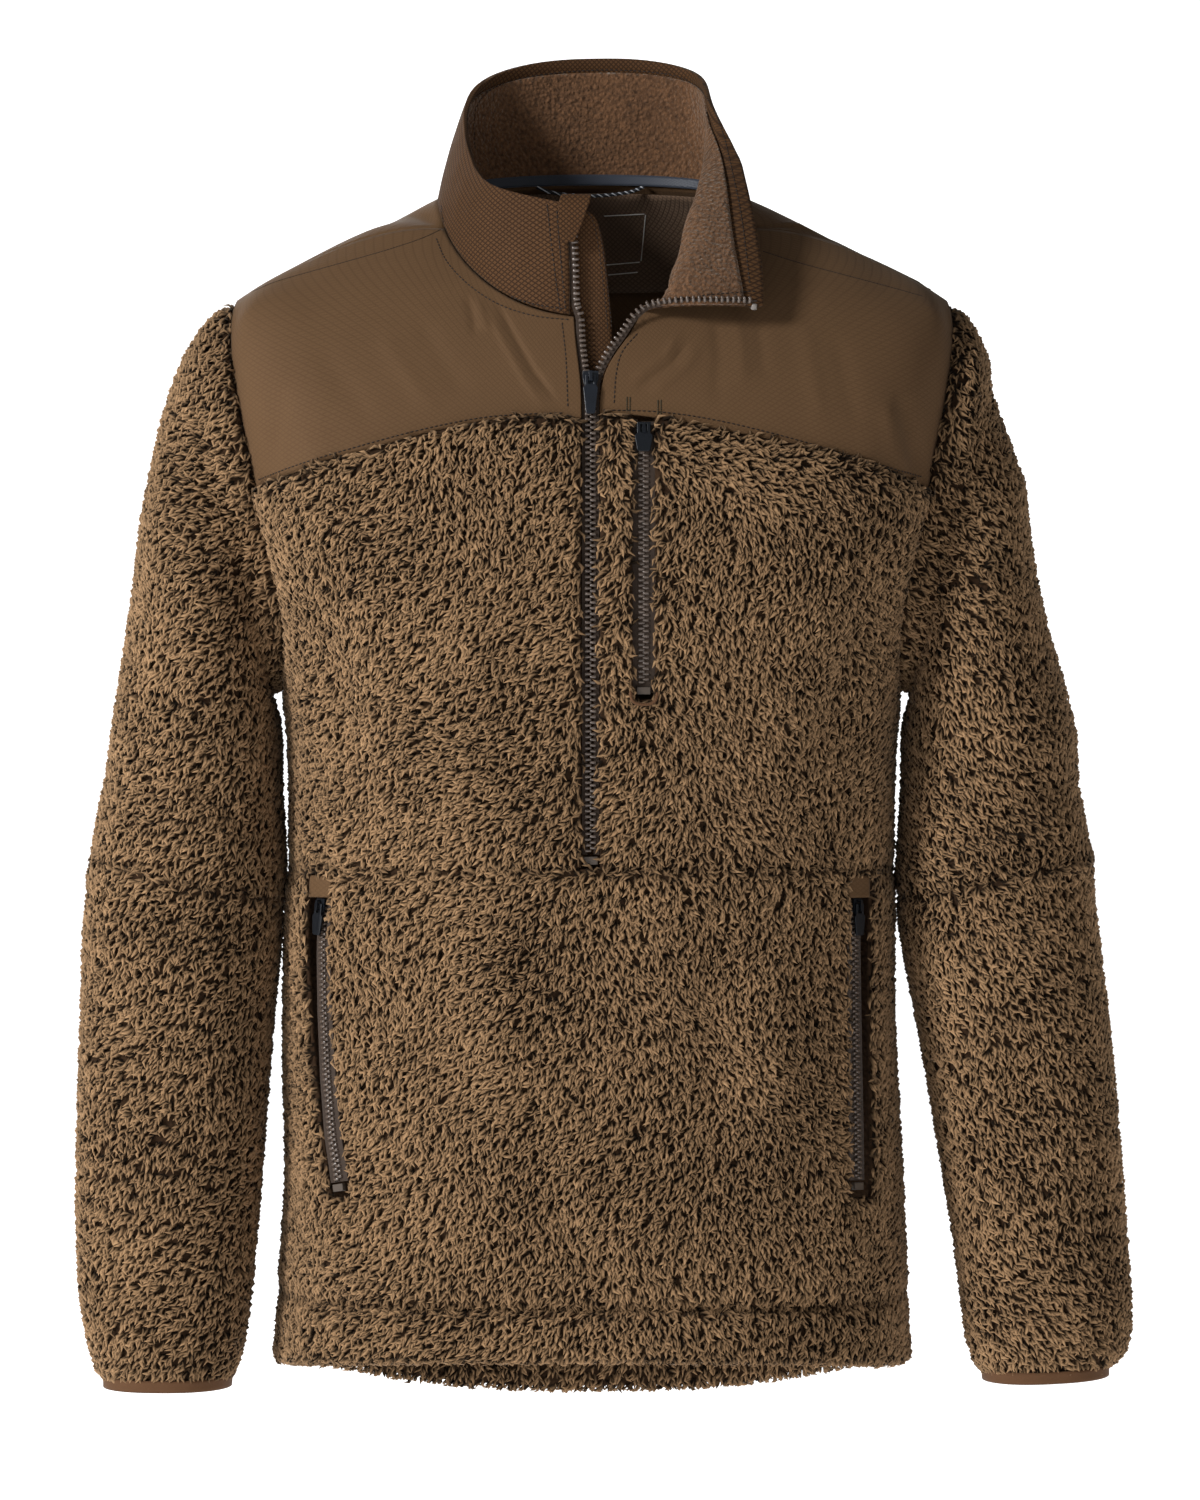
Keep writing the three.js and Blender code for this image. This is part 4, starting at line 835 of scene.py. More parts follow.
def sherpa(node, seed):
    width, length, area, per_lock = PANELS[node]
    knit = made_pieces[node] = backing(node)
    for _ in range(len(knit.data.materials), 3):
        knit.data.materials.append(KNIT)
    hand_over(knit, node)
    flow = flow_sleeve if arm_of(node) else flow_body
    pile = locks(node + "_pile", knit.data, per_lock * MM * MM, flow, seed)
    pile.data.materials.append(PILE)
    hand_over(pile)
    surface = sum(p.area for p in knit.data.polygons)
    print(node, "surface / 2", round(surface / 2, 4), "flat", area)


FIRST_SEED = 11
for number, panel in enumerate(PANELS):
    sherpa(panel, FIRST_SEED + number)

# %% [markdown]
# ## Woven nylon
# The yokes and the collar are a crisp nylon with a small raised diamond grid. The grid has to
# follow the cloth, so each piece gets its own UV map in metres: round the body, or round the
# sleeve, and up. The outer face shows the grid clearly on the collar and faintly on the yokes.

# %% UV in metres
def weave_uv(mesh, arm=None, radius=0.15, from_back=False):
    co = points_of(mesh)
    x, y = (co[:, :2] - middle_of(co, arm)).T
    u = np.arctan2(x, y if from_back else -y) * radius
    corner = np.empty(len(mesh.loops), int)
    mesh.loops.foreach_get("vertex_index", corner)
    uv = np.stack([u, co[:, 2]], axis=1)[corner]
    mesh.uv_layers.new(name="weave").data.foreach_set("uv", uv.ravel())


# %% Nylon and fleece materials
def diamond_grid(root, wide=4.0 * MM, high=3.0 * MM):
    """0 on the raised lines of the grid, towards 1 in the middle of each diamond."""
    round_it, up, _ = parts_of(root, root.node("ShaderNodeUVMap", {"uv_map": "weave"}))
    one = root.maths("SINE", round_it * (math.pi / wide) + up * (math.pi / high))
    two = root.maths("SINE", round_it * (math.pi / wide) - up * (math.pi / high))
    return root.maths("MINIMUM", abs(one), abs(two))


def nylon_material(name, colour, dark, grid, rough=0.72):
    made, root, link = material(name, Roughness=rough, Sheen_Weight=0.05, Sheen_Roughness=0.5,
                                Sheen_Tint=(1.0, 0.88, 0.74), Specular_IOR_Level=0.1)
    cell = root.maths("SMOOTH_MIN", diamond_grid(root), 0.62, 0.2)
    fine = noise(root, 1500.0, 2.0)
    patch = noise(root, 14.0, 3.0)
    share = (1 - cell) * grid + (patch - 0.5) * 0.35 + (fine - 0.5) * 0.25 + 0.2
    height = (1 - cell) * (-grid) + fine * 0.25
    link(Base_Color=mixed(root, clamped(root, share), colour, dark),
         Roughness=rough + (patch - 0.5) * 0.2,
         Normal=bumped(root, height, 0.6, 0.5 * MM))
    return made


def fleece_material(name, colour, dark):
    made, root, link = material(name, Roughness=0.95, Sheen_Weight=0.3, Sheen_Roughness=0.5,
                                Sheen_Tint=(1.0, 0.88, 0.74), Specular_IOR_Level=0.1)
    crumb = noise(root, 520.0, 2.0, 0.55)
    speck = cells(root, 430.0)
    patch = noise(root, 20.0, 3.0)
    share = speck * 0.7 + (crumb - 0.5) * 1.2 + (patch - 0.5) * 0.5 + 0.12
    link(Base_Color=mixed(root, clamped(root, share), colour, dark),
         Normal=bumped(root, crumb - speck * 0.9, 1.0, 1.6 * MM))
    return made


NYLON = nylon_material("yoke_nylon", linear(103, 78, 53), linear(76, 55, 37), 0.45)
COLLAR_NYLON = nylon_material("collar_nylon", linear(120, 84, 51), linear(52, 34, 20), 1.25)
FACING_NYLON = nylon_material("facing_nylon", linear(128, 104, 84), linear(78, 62, 50), 0.9)
BINDING = nylon_material("binding_nylon", linear(98, 69, 47), linear(72, 50, 34), 0.12)
FLEECE = fleece_material("microfleece", linear(118, 84, 58), linear(48, 33, 23))
print("materials", len(bpy.data.materials))

# %% [markdown]
# ## Nylon pieces
# These keep the frame's wall as it is, because it is already as thin as the cloth. Only its
# rounding, its folds and its finish are added.

# %% Puckers of the collar
# height and half width in mm, then points x, y, z in mm along the pucker
PUCKERS = [
    (-1.6, 5, [(-52, -74, -20), (-60, -70, -46)]), (1.4, 5, [(-40, -86, -24), (-46, -84, -56)]),
    (-1.2, 4, [(-70, -50, 6), (-78, -50, -22)]), (1.2, 5, [(-74, -20, 30), (-84, -20, 2)]),
    (-1.4, 6, [(-60, 44, 84), (-68, 46, 46)]), (1.3, 6, [(-24, 66, 96), (-26, 66, 44)]),
    (-1.3, 6, [(22, 66, 96), (26, 66, 40)]), (1.4, 6, [(60, 48, 88), (66, 48, 44)]),
    (-1.6, 6, [(80, 14, 66), (90, 14, 24)]), (1.5, 6, [(92, -30, 30), (98, -34, -10)]),
    (-1.4, 5, [(72, -90, -62), (80, -72, -20)]), (1.3, 5, [(54, -92, -62), (66, -76, -26)]),
]


def pucker(made):
    co = points_of(made.data)
    moved = np.zeros(len(co))
    for height, width, line in PUCKERS:
        f, gap = beside(co, *(np.array(line, float) * MM))
        fade = np.sin(np.pi * np.clip(f, 0.05, 0.95))
        moved += height * MM * fade * np.exp(-((gap / width / MM) ** 2))
    put_points(made.data, co + outward(co, None) * moved[:, None])


# %% Make the nylon and fleece pieces
# node: material, UV radius, seen from behind, slot, subdivision, then the cut: width, length, area
SMOOTH_PIECES = {
    "yoke_front_right": (NYLON, 0.15, False, "yoke_nylon", 3, 0.24, 0.20, 0.0300),
    "yoke_front_left": (NYLON, 0.15, False, "yoke_nylon", 3, 0.24, 0.20, 0.0300),
    "yoke_back": (NYLON, 0.15, True, "yoke_nylon", 2, 0.50, 0.24, 0.1040),
    "collar_outer": (COLLAR_NYLON, 0.085, True, "yoke_nylon", 2, 0.56, 0.12, 0.0365),
    "collar_inner": (FLEECE, 0.085, True, "microfleece", 2, 0.50, 0.10, 0.0320),
    "back_neck_facing": (FACING_NYLON, 0.11, True, "yoke_nylon", 2, 0.28, 0.09, 0.0198),
    "storm_flap": (COLLAR_NYLON, 0.12, False, "yoke_nylon", 2, 0.034, 0.40, 0.0110),
    "cuff_binding_right": (BINDING, 0.05, False, "binding_nylon", 2, 0.25, 0.011, 0.0027),
    "cuff_binding_left": (BINDING, 0.05, False, "binding_nylon", 2, 0.25, 0.011, 0.0027),
}


def smooth_piece(node):
    paint, radius, from_back, slot, levels, width, length, area = SMOOTH_PIECES[node]
    bm = merged(node)
    mark_outer(bm, node)
    crease_corners(bm)
    piece = subdivided(object_of(node + "_cloth", bm), levels)
    if node not in ("back_neck_facing", "storm_flap"):
        fold(piece, node)
    if node.startswith("collar"):
        pucker(piece)
    weave_uv(piece.data, arm_of(node), radius, from_back)
    piece.data.materials.clear()
    for _ in (OUTER, INNER):
        piece.data.materials.append(paint)
    hand_over(piece, node)
    surface = sum(p.area for p in piece.data.polygons)
    print(node, "surface / 2", round(surface / 2, 4), "flat", area)
    made_pieces[node] = piece


for piece_node in SMOOTH_PIECES:
    smooth_piece(piece_node)


# %% [markdown]
# ## Zips
# A moulded zip is a woven tape with a row of blocks along its edge. Where the slider has
# closed it, the blocks of the two tapes stand in each other's gaps. Each route below repeats
# the frame's own places along the fabric's edge, with the direction out of the cloth.

# %% Routes of the zips
# each row: x, y, z in mm on the fabric's edge, then the direction out of the cloth
CLOSED = [
    (-118, -404, 0, -1, -0.05), (-119.6, -372, 0, -1, -0.06), (-121.7, -341, 0, -1, -0.07),
    (-123.6, -313, 0, -1, -0.06), (-125, -285, 0, -1, -0.01), (-124.3, -250, 0, -1, 0.04),
    (-121.8, -213, 0, -1, 0.09), (-117.9, -178, 0, -0.99, 0.14),
]  # without the x, which each side has its own
FRONT_RIGHT = [
    *((-6, *row) for row in CLOSED),
    (-6, -113.2, -152, 0, -0.98, 0.19), (-6, -111.1, -143.5, 0, -0.97, 0.25),
    (-6, -107.4, -130, 0, -0.96, 0.28), (-6.2, -104.9, -122, 0, -0.95, 0.32),
    (-7.4, -101.4, -112, 0, -0.94, 0.34), (-8.8, -97.6, -102, -0.01, -0.92, 0.38),
    (-9.6, -93.6, -91.8, -0.01, -0.91, 0.42), (-9.9, -89.9, -80.2, -0.03, -0.93, 0.3),
    (-12.6, -90.1, -74.5, -0.1, -0.98, -0.1), (-13, -92.2, -62.5, -0.16, -0.98, -0.14),
    (-13.4, -94.3, -45.9, -0.19, -0.98, -0.11), (-14.3, -95.5, -29.9, -0.21, -0.97, -0.07),
    (-15.4, -96, -17.9, -0.23, -0.97, -0.05),
]
FRONT_LEFT = [
    *((4.8, *row) for row in CLOSED),
    (4.8, -113.2, -152, 0, -0.98, 0.2), (4.8, -110.7, -141.8, 0, -0.97, 0.25),
    (4.8, -107.4, -130, 0, -0.96, 0.28), (5.4, -104.6, -121, 0, -0.95, 0.32),
    (9, -101, -111, 0.01, -0.94, 0.35), (14.3, -97.9, -101.7, 0.02, -0.92, 0.38),
    (21.5, -95.4, -91.9, 0.06, -0.95, 0.2), (27.5, -93.6, -82.5, 0.1, -0.98, -0.1),
    (34.3, -92.4, -76.4, 0.1, -0.9, -0.42), (43.1, -95.9, -75, 0.1, -0.9, -0.4),
    (50.6, -98.7, -74.7, 0.05, -0.93, -0.36), (60.2, -100.3, -74.5, -0.03, -0.94, -0.34),
    (70.8, -100, -74.4, 0.06, -0.93, -0.36), (82.4, -98, -74.4, 0.18, -0.9, -0.4),
    (93, -94.7, -74.4, 0.26, -0.88, -0.4), (99.6, -92.2, -74.5, 0.3, -0.87, -0.39),
]
CHEST = [
    (31, -111, -144, 0.02, -0.97, 0.25), (31, -112.8, -151.4, 0.02, -0.97, 0.23),
    (31, -117.6, -177.3, 0.01, -0.99, 0.14), (31, -121.6, -212.2, 0.01, -1, 0.09),
    (31, -124.1, -249.2, 0.02, -1, 0.04), (31, -124.7, -284.1, 0.02, -1, -0.02),
    (31, -123.7, -303, 0.03, -1, -0.05), (31, -123.4, -308, 0.03, -1, -0.05),
]
HAND_RIGHT = [
    (-162, -65.6, -431.5, -0.79, -0.61, 0.03), (-162.6, -65.2, -439.5, -0.8, -0.6, 0.03),
    (-163, -66.5, -464.4, -0.78, -0.62, 0.05), (-162, -70.4, -499, -0.75, -0.66, 0.04),
    (-159.8, -74.8, -538.5, -0.7, -0.71, 0.03), (-156.7, -79, -573.3, -0.66, -0.75, 0.02),
    (-153.1, -82.7, -595.1, -0.63, -0.78, 0.02), (-152.3, -83.5, -602, -0.62, -0.79, 0.02),
]
HAND_LEFT = [
    (159, -67.3, -431.5, 0.78, -0.63, -0.01), (159, -67.2, -439.1, 0.78, -0.63, 0),
    (159.1, -67, -464.1, 0.78, -0.63, 0.01), (159.5, -67.4, -498.6, 0.77, -0.63, 0.03),
    (159.9, -69.7, -538.1, 0.75, -0.66, 0.05), (160.4, -71.7, -573, 0.74, -0.67, 0.05),
    (160.6, -73, -595, 0.73, -0.68, 0.04), (160.6, -73.5, -602, 0.73, -0.69, 0.04),
]


class Route:
    """Places along a line: point, along it, out of the cloth and across, evenly by length."""

    def __init__(self, rows):
        rows = np.array(rows, float)
        self.points = rows[:, :3] * MM
        self.outs = rows[:, 3:]
        self.lengths = lengths_of(self.points)
        self.length = self.lengths[-1]

    def at(self, s):
        """Smoothed point, direction, out and across at the lengths s."""
        def read(q, values):
            return np.stack([np.interp(q, self.lengths, values[:, k]) for k in range(3)], axis=1)
        soft = 3 * MM
        before, after = read(s - soft, self.points), read(s + soft, self.points)
        co = (before + read(s, self.points) * 2 + after) / 4
        ahead = unit(after - before)
        out = read(s - soft, self.outs) + read(s + soft, self.outs)
        out = unit(out - ahead * (out * ahead).sum(axis=1)[:, None])
        return co, ahead, out, np.cross(ahead, out)


# %% Many copies of one small shape
def strewn(name, shape, places, paint):
    """One mesh of copies of shape. places: point, right, up and out of each copy, each scaled."""
    shape.verts.index_update()
    own = np.array([v.co for v in shape.verts])
    bmesh.ops.triangulate(shape, faces=shape.faces)
    tri = np.array([[v.index for v in f.verts] for f in shape.faces])
    shape.free()
    co, right, up, out = places
    every = (co[:, None] + own[None, :, :1] * right[:, None] + own[None, :, 1:2] * up[:, None]
             + own[None, :, 2:] * out[:, None])
    piece = placed(name, copies(name, every, tri))
    piece.data.materials.append(paint)
    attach(piece, "garment")
    return piece


TOOTH = (3.9, 1.9, 2.7)  # mm across the tape, along it and out of it


def tooth():
    """A moulded tooth: x across to its head, y along the tape, z out. Millimetres."""
    bm = bmesh.new()
    bmesh.ops.create_cube(bm, size=1)
    bmesh.ops.scale(bm, vec=TOOTH, verts=bm.verts)
    for v in bm.verts:
        if v.co.x > 0:
            v.co.y *= 0.78
            v.co.z *= 0.86
    bmesh.ops.bevel(bm, geom=list(bm.edges), offset=0.42, offset_type="OFFSET", affect="EDGES",
                    segments=1, profile=0.5, material=-1)
    return bm


# %% Tape and teeth
def plastic_material(name, colour, dark, rough, gloss=0.5):
    made, root, link = material(name, Roughness=rough, Specular_IOR_Level=gloss)
    patch = noise(root, 60.0, 3.0)
    grain = noise(root, 2400.0, 2.0)
    link(Base_Color=mixed(root, patch, colour, dark), Roughness=rough + (grain - 0.5) * 0.3,
         Normal=bumped(root, grain, 0.25, 0.15 * MM))
    return made


def weave_material(name, colour, dark, rough, thread=0.7 * MM):
    made, root, link = material(name, Roughness=rough, Sheen_Weight=0.2, Specular_IOR_Level=0.3)
    x, y, z = parts_of(root, place_of(root))
    rib = root.maths("SINE", (x + y) * (6.283 / thread))
    weft = root.maths("SINE", z * (6.283 / thread))
    both = rib * weft * 0.5 + 0.5
    patch = noise(root, 40.0, 3.0)
    share = both * 0.5 + (patch - 0.5) * 0.6 + 0.1
    link(Base_Color=mixed(root, share, colour, dark), Normal=bumped(root, both, 0.5, 0.25 * MM))
    return made


TEETH = plastic_material("zip_teeth", linear(106, 92, 82), linear(66, 54, 46), 0.28, 0.75)
TAPE = weave_material("zip_tape", linear(62, 47, 36), linear(36, 27, 20), 0.8)
TAPE_THICK = 0.6 * MM


def ribbon(name, node, route, low, high, sink):
    """A tape along a route, from low to high across it and sink out of the cloth."""
    bm = bmesh.new()
    steps = max(8, int(route.length / (2.5 * MM)))
    bmesh.ops.create_grid(bm, x_segments=3, y_segments=steps, size=1)
    s = route.length * np.array([(v.co.y + 1) / 2 for v in bm.verts])
    across = low + (high - low) * np.array([(v.co.x + 1) / 2 for v in bm.verts])
    co, _, out, side = route.at(s)
    for v, place in zip(bm.verts, co + side * across[:, None] + out * sink):
        v.co = place
    bm.normal_update()
    if sum(f.normal.dot(Vector(out[0])) for f in bm.faces) < 0:
        bmesh.ops.reverse_faces(bm, faces=bm.faces)
    bmesh.ops.solidify(bm, geom=list(bm.faces), thickness=TAPE_THICK)
    piece = object_of(name, bm, smooth=False)
    piece.data.materials.append(TAPE)
    hand_over(piece, node)


def teeth(name, route, side, head, start, spare, pitch, rise=0.05 * MM):
    """A row of teeth whose heads stand head across the route, to the side given by its sign.
    It starts so far up the route, ends so far before the route does, and is raised by rise.
    The row on the other side stands half a pitch further on."""
    s = np.arange(start + (0 if side > 0 else pitch / 2), route.length - spare, pitch)
    co, ahead, out, across = route.at(s)
    place = co + across * side * (head - TOOTH[0] / 2 * MM) + out * rise
    piece = strewn(name, tooth(), (place, across * side * MM, ahead * MM, out * MM), TEETH)


front_routes = {"right": Route(FRONT_RIGHT), "left": Route(FRONT_LEFT)}
for name, route in front_routes.items():
    side = 1 if name == "right" else -1
    ribbon(f"zip_tape_{name}_cloth", f"zip_tape_{name}", route, side * 0.3 * MM, side * 3.6 * MM,
           -0.2 * MM)
    teeth(f"zip_teeth_{name}", route, side, 5.9 * MM, 3 * MM, 5 * MM, 3.4 * MM)

# name, node, route, then in mm: half the tape, where its teeth start and end, and their rise
POCKET_ZIPS = [
    ("chest", "chest_zip", CHEST, 6.8, 12, 7, -0.6),
    ("hand_right", "pocket_zip_right", HAND_RIGHT, 7.0, 2, 2, 0.05),
    ("hand_left", "pocket_zip_left", HAND_LEFT, 7.0, 2, 2, 0.05),
]
for name, node, rows, half, start, spare, rise in POCKET_ZIPS:
    route = Route(rows)
    ribbon(f"{name}_tape_cloth", f"{node}_tape", route, -half * MM, half * MM, -0.3 * MM)
    for row, side in (("a", 1), ("b", -1)):
        teeth(f"{name}_teeth_{row}", route, side, 0.65 * MM, start * MM, spare * MM, 3.2 * MM,
              rise * MM)


# %% [markdown]
# ## Sliders, pulls and stops
# These are small castings and mouldings with a dark coat. Their frame solids have the right
# shape with knife edges, so each is copied, its flat faces are joined and its edges rounded.

# %% Small hard parts
COATED = plastic_material("zip_coat", linear(28, 33, 42), linear(14, 18, 24), 0.34, 0.55)
NAVY = plastic_material("zip_navy", linear(10, 16, 24), linear(5, 8, 13), 0.42, 0.4)
STOP = plastic_material("zip_stop", linear(88, 76, 66), linear(54, 45, 38), 0.4, 0.5)
TOP_STOP = plastic_material("zip_top_stop", linear(150, 144, 138), linear(112, 104, 98), 0.4, 0.5)


SOFT_EDGE, FLAT = math.radians(25), math.radians(2)


def rounded_part(node, paint, width=0.28 * MM, body="garment", wider=1.0, longer=1.0):
    """A finished copy of a node. It grows about its middle across, and about its top along
    the zip, or about its foot where longer is below zero."""
    bm = merged(node)
    middle = sum((v.co for v in bm.verts), Vector()) / len(bm.verts)
    end = max if longer > 0 else min
    fixed = end(v.co.z for v in bm.verts)
    for v in bm.verts:
        v.co.x = middle.x + (v.co.x - middle.x) * wider
        v.co.z = fixed + (v.co.z - fixed) * abs(longer)
    bmesh.ops.dissolve_limit(bm, angle_limit=FLAT, verts=bm.verts, edges=bm.edges)
    edges = [e for e in bm.edges if len(e.link_faces) == 2 and e.calc_face_angle(0) > SOFT_EDGE]
    bmesh.ops.bevel(bm, geom=edges, offset=width, offset_type="OFFSET", affect="EDGES",
                    segments=2, profile=0.5, material=-1, clamp_overlap=True)
    piece = object_of(node + "_finished", bm, smooth=False)
    piece.data.materials.append(paint)
    hand_over(piece, node, body)


PULL_GROWTH = {"front_zip": (1.0, 1.14), "chest_zip": (1.25, -1.16),
               "pocket_zip_right": (1.2, 1.1), "pocket_zip_left": (1.2, 1.1)}
for zip_name in PULL_GROWTH:
    coat = COATED if zip_name == "front_zip" else NAVY
    rounded_part(f"{zip_name}_slider", coat, 0.2 * MM)
    wider, longer = PULL_GROWTH[zip_name]
    rounded_part(f"{zip_name}_pull", coat, 0.24 * MM, f"{zip_name}_pull_body",
                 wider, longer)
    rounded_part(f"{zip_name}_stop", STOP)
wing = front_routes["left"]
co, ahead, out, across = wing.at(np.array([wing.length - 2.2 * MM]))
end_stop = strewn("zip_top_stop", tooth(),
                  (co + out * 0.2 * MM, across * -MM, ahead * 2 * MM, out * 1.1 * MM), TOP_STOP)

# %% [markdown]
# ## Garages and neck tape
# A garage is a folded scrap of nylon at a zip's end. The neck tape is a soft satin ribbon that
# covers the collar's seam inside. They are thin walls in the frame and need no new form.

# %% Small cloth parts
SATIN = weave_material("neck_satin", linear(54, 60, 72), linear(28, 32, 41), 0.5, 1.6 * MM)


def trim_piece(node, paint, levels):
    bm = merged(node)
    crease_corners(bm)
    piece = subdivided(object_of(node + "_cloth", bm), levels)
    weave_uv(piece.data, None, 0.12, node == "neck_tape")
    piece.data.materials.clear()
    piece.data.materials.append(paint)
    hand_over(piece, node)
    made_pieces[node] = piece


trim_piece("zip_garage", COLLAR_NYLON, 3)
trim_piece("neck_tape", SATIN, 2)
trim_piece("pocket_zip_right_garage", NYLON, 2)
trim_piece("pocket_zip_left_garage", NYLON, 2)

# %% [markdown]
# ## Hang loop
# The loop is a braided cord with light flecks. Both of its ends are sewn under the neck tape,
# so it is a short cord that leaves the garment and goes back into it.

# %% The cord's curve
LOOP_POINTS = [(-34.8, 61.2, 15.0), (-28.4, 60.9, 12.4), (-19.3, 60.9, 10.7), (-10.9, 61.1, 9.9),
               (-1.8, 61.2, 9.6), (8.2, 61.2, 9.9), (16.8, 61.0, 10.8), (25.6, 60.9, 12.4),
               (32.6, 61.2, 15.2)]


LOOP_LENGTH, LOOP_DIAMETER = 0.069, 0.0022


def cord_material():
    made, root, link = material("loop_cord", Roughness=0.6, Specular_IOR_Level=0.4)
    x, _, z = parts_of(root, place_of(root))
    braid = root.maths("SINE", x * 1257.0 + z * 2100.0)
    other = root.maths("SINE", x * 2514.0 - z * 2600.0)
    fleck = root.maths("GREATER_THAN", braid, 0.74)
    link(Base_Color=mixed(root, fleck, linear(14, 18, 26), linear(196, 200, 206)),
         Normal=bumped(root, abs(braid) + abs(other), 0.5, 0.3 * MM))
    return made


def hang_loop():
    data = bpy.data.curves.new("hang_loop_cord", "CURVE")
    data.dimensions = "3D"
    data.bevel_depth = LOOP_DIAMETER / 2
    data.bevel_resolution = 4
    data.use_fill_caps = True
    data.resolution_u = 8
    line = data.splines.new("BEZIER")
    line.bezier_points.add(len(LOOP_POINTS) - 1)
    for point, place in zip(line.bezier_points, LOOP_POINTS):
        point.co = Vector(place) * MM
        point.handle_left_type = point.handle_right_type = "AUTO"
    loop = placed("hang_loop_cord", data)
    data.materials.append(cord_material())
    hand_over(loop, "hang_loop")


hang_loop()

# %% [markdown]
# ## Sewing
# Topstitching is a row of short thread ends pulled a little into the cloth. A row is drawn as
# it is seen from the camera, in a picture of 1200 by 1500, and falls on whatever cloth is
# there, or it is laid round the body at a height. Each stitch is one small rounded bar.

# %% Lines that fall on the cloth
def tree_of(*nodes):
    """A search tree over the pieces made for some nodes, all together."""
    points, faces, base = [], [], 0
    for piece in (made_pieces[node] for node in nodes):
        points += [tuple(p) for p in points_of(piece.data)]
        faces += [[v + base for v in p.vertices] for p in piece.data.polygons]
        base = len(points)
    return BVHTree.FromPolygons(points, faces)


def densely(points, step):
    """Places along a line, a step apart or nearly so."""
    points = np.array(points, float)
    lengths = lengths_of(points)
    s = np.linspace(0, lengths[-1], max(2, int(lengths[-1] / step)))
    return np.stack([np.interp(s, lengths, points[:, k]) for k in range(points.shape[1])], axis=1)


def curved(points):
    """The points of a smooth line through a few given ones."""
    points = [np.array(p, float) for p in points]
    ends = [2 * points[0] - points[1], *points, 2 * points[-1] - points[-2]]
    out = []
    for a, b, c, d in zip(ends, ends[1:], ends[2:], ends[3:]):
        for f in np.linspace(0, 1, 8, endpoint=False):
            out.append(b + (c - a) / 2 * f + (2 * a - 5 * b + 4 * c - d) / 2 * f * f
                       + (3 * b - a - 3 * c + d) / 2 * f ** 3)
    return [*out, points[-1]]


def seen_line(tree, line):
    """Places on the cloth under a line drawn in the picture, as seen by the camera."""
    rows = []
    for px, py in densely(curved(line), 1.5):
        aim = Vector(((px - FRAME_WIDTH / 2) * PIXEL, -CAMERA_AT.y,
                      (FRAME_HEIGHT / 2 - py) * PIXEL)).normalized()
        hit, normal, _, _ = tree.ray_cast(CAMERA_AT, aim)
        if hit:
            rows.append((*(hit / MM), *(normal if normal.dot(aim) < 0 else -normal)))
    return Route(rows)


def above_edge(tree, turns, top, low, above):
    """A row round the body that runs above the lower edge of the cloth, all in mm."""
    rows, outside = [], 0.6
    for angle in turns:
        away = Vector((math.sin(math.radians(angle)), -math.cos(math.radians(angle)), 0))
        for z in np.arange(low, top, 1.0):
            if tree.ray_cast(Vector((0, 0, z * MM)) + away * outside, -away)[0]:
                start = Vector((0, 0, (z + above) * MM)) + away * outside
                hit, normal, _, _ = tree.ray_cast(start, -away)
                if hit:
                    rows.append((*(hit / MM), *(normal if normal.dot(away) > 0 else -normal)))
                break
    return Route(rows)


# %% Threads
def thread_material(name, colour, dark):
    made, root, link = material(name, Roughness=0.6, Specular_IOR_Level=0.35)
    twist = noise(root, 1900.0, 1.0)
    link(Base_Color=mixed(root, twist, colour, dark), Normal=bumped(root, twist, 0.4, 0.15 * MM))
    return made


THREAD = thread_material("thread_brown", linear(40, 29, 21), linear(22, 16, 12))
OLIVE = thread_material("thread_olive", linear(66, 57, 32), linear(34, 28, 16))
PRINT = thread_material("label_outline", linear(240, 238, 232), linear(214, 210, 204))


def bar():
    """A short bar along y, one unit long, rounded at its ends."""
    bm = bmesh.new()
    bmesh.ops.create_uvsphere(bm, u_segments=4, v_segments=4, radius=0.5)
    bmesh.ops.rotate(bm, verts=bm.verts, matrix=Matrix.Rotation(math.pi / 2, 3, "X"))
    return bm


def stitched(name, tree, lines, paint, stitch=2.3, gap=0.7, thick=0.9, proud=0.14):
    """Stitches under lines drawn in the picture, all in one mesh. Sizes in millimetres."""
    return stitched_on(name, [seen_line(tree, line) for line in lines], paint, stitch, gap,
                       thick, proud)


def stitched_on(name, routes, paint, stitch=2.3, gap=0.7, thick=0.9, proud=0.14):
    parts = []
    for route in routes:
        s = np.arange(stitch / 2, route.length / MM - stitch / 2, stitch + gap) * MM
        if len(s):
            co, ahead, out, side = route.at(s)
            parts.append((co + out * proud * MM, side * thick * MM, ahead * stitch * MM,
                          out * thick * 0.8 * MM))
    places = [np.concatenate(group) for group in zip(*parts)]
    return strewn(name, bar(), places, paint)


# %% Rows on the yokes
yokes = tree_of("yoke_front_right", "yoke_front_left")
YOKE_ROWS = [
    [(258, 480), (300, 464), (360, 446), (420, 430), (480, 418), (530, 414), (566, 413)],
    [(602, 410), (660, 412), (720, 421), (790, 438), (860, 459), (922, 477)],
    [(562, 322), (566, 360), (568, 411)],
    [(638, 333), (622, 352), (616, 375), (614, 406)],
    [(436, 238), (447, 262), (470, 286), (500, 305), (535, 316), (572, 320)],
]
stitched("yoke_topstitch", yokes, YOKE_ROWS, THREAD)
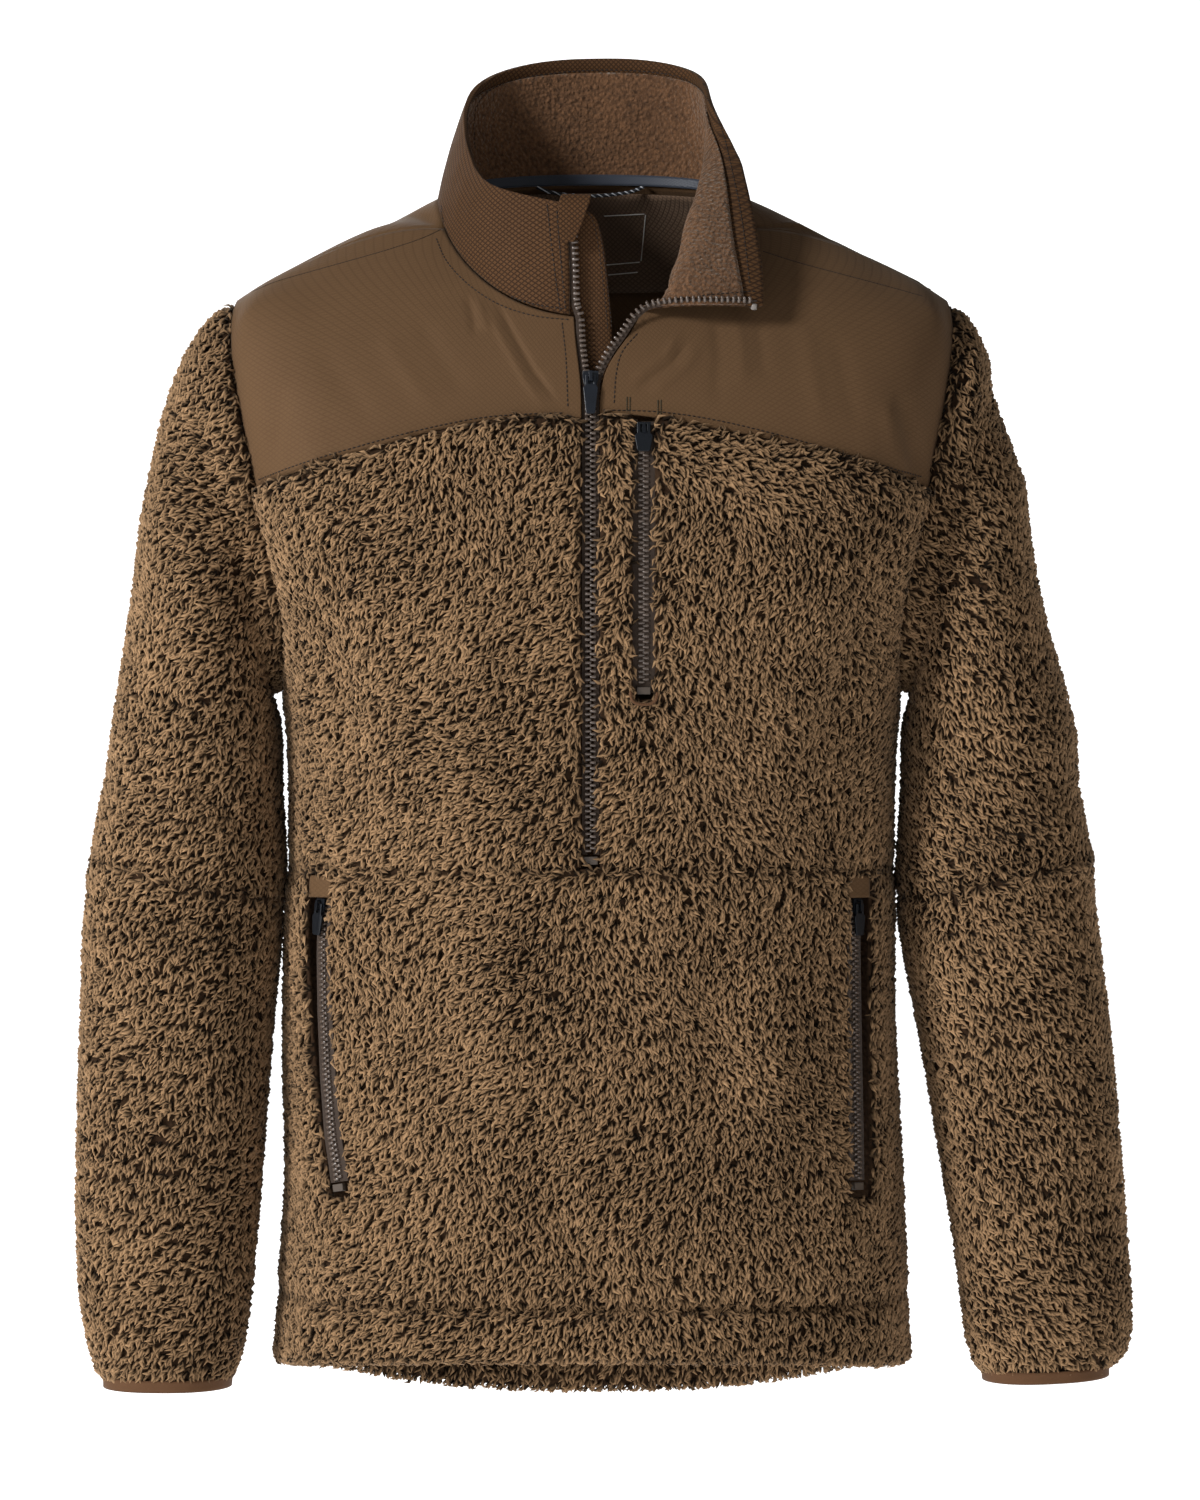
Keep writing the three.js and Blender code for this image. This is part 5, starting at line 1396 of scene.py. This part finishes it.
# the shoulder seams are a continuous dark line of overlapping beads: their thread, and painted
# shade for the seam's groove
SHOULDER_SEAMS = [[(446, 227), (420, 239), (380, 252), (320, 269), (275, 282), (252, 292)],
                  [(762, 251), (800, 263), (845, 275), (890, 287), (925, 297)]]
all_yokes = tree_of("yoke_front_right", "yoke_front_left", "yoke_back")
stitched("shoulder_seams", all_yokes, SHOULDER_SEAMS, THREAD, 2.4, -0.5, 0.7, 0.05)
BAR_TACKS = [[(627, 396), (627, 415)], [(630, 396), (630, 415)],
             [(658, 399), (658, 417)], [(661, 399), (661, 417)]]
stitched("bar_tacks", yokes, BAR_TACKS, OLIVE, 1.4, 0.1, 1.1)

# %% Rows on the collar, flap and facing
COLLAR_ROWS = [
    [(547, 203), (551, 240), (556, 280), (561, 314)],
    [(557, 210), (560, 250), (566, 312)],
    [(441, 205), (446, 232), (462, 262), (490, 287), (530, 303), (567, 309)],
]
stitched("collar_topstitch", tree_of("collar_outer"), COLLAR_ROWS, THREAD)
INNER_ROWS = [
    [(475, 150), (474, 120), (480, 100), (500, 85), (540, 75), (600, 70), (660, 73), (690, 82),
     (708, 100), (722, 130), (732, 170), (742, 220), (750, 286)],
    [(672, 300), (700, 296), (730, 293), (758, 291)],
]
stitched("collar_inner_stitch", tree_of("collar_inner", "collar_outer"), INNER_ROWS, THREAD)
FLAP_ROWS = [[(592, 210), (598, 222), (603, 250), (608, 290), (612, 330)],
             [(588, 212), (594, 224), (599, 250), (604, 290), (608, 330)]]
stitched("flap_stitch", tree_of("storm_flap"), FLAP_ROWS, THREAD, 1.9, 0.7, 0.6)
LABEL_OUTLINE = [[(603, 216), (645.7, 214)], [(645.7, 214), (641, 262)],
                 [(641, 262), (605, 265)], [(607, 275), (640, 272)]]
stitched("label_outline", tree_of("back_neck_facing"), LABEL_OUTLINE, PRINT, 2.0, -0.6, 0.8)

# %% The chest pocket's welt and a row round the back
WELT = [(631, 690), (632, 701), (640, 704), (650, 704), (656, 700), (657, 690)]
stitched("chest_pocket_welt", tree_of("chest_left"), [WELT], BINDING, 3.4, -1.9, 2.2, 3.8)
back_row = above_edge(tree_of("yoke_back"), range(104, 258, 4), -60, -260, 4)
stitched_on("back_yoke_topstitch", [back_row], THREAD)
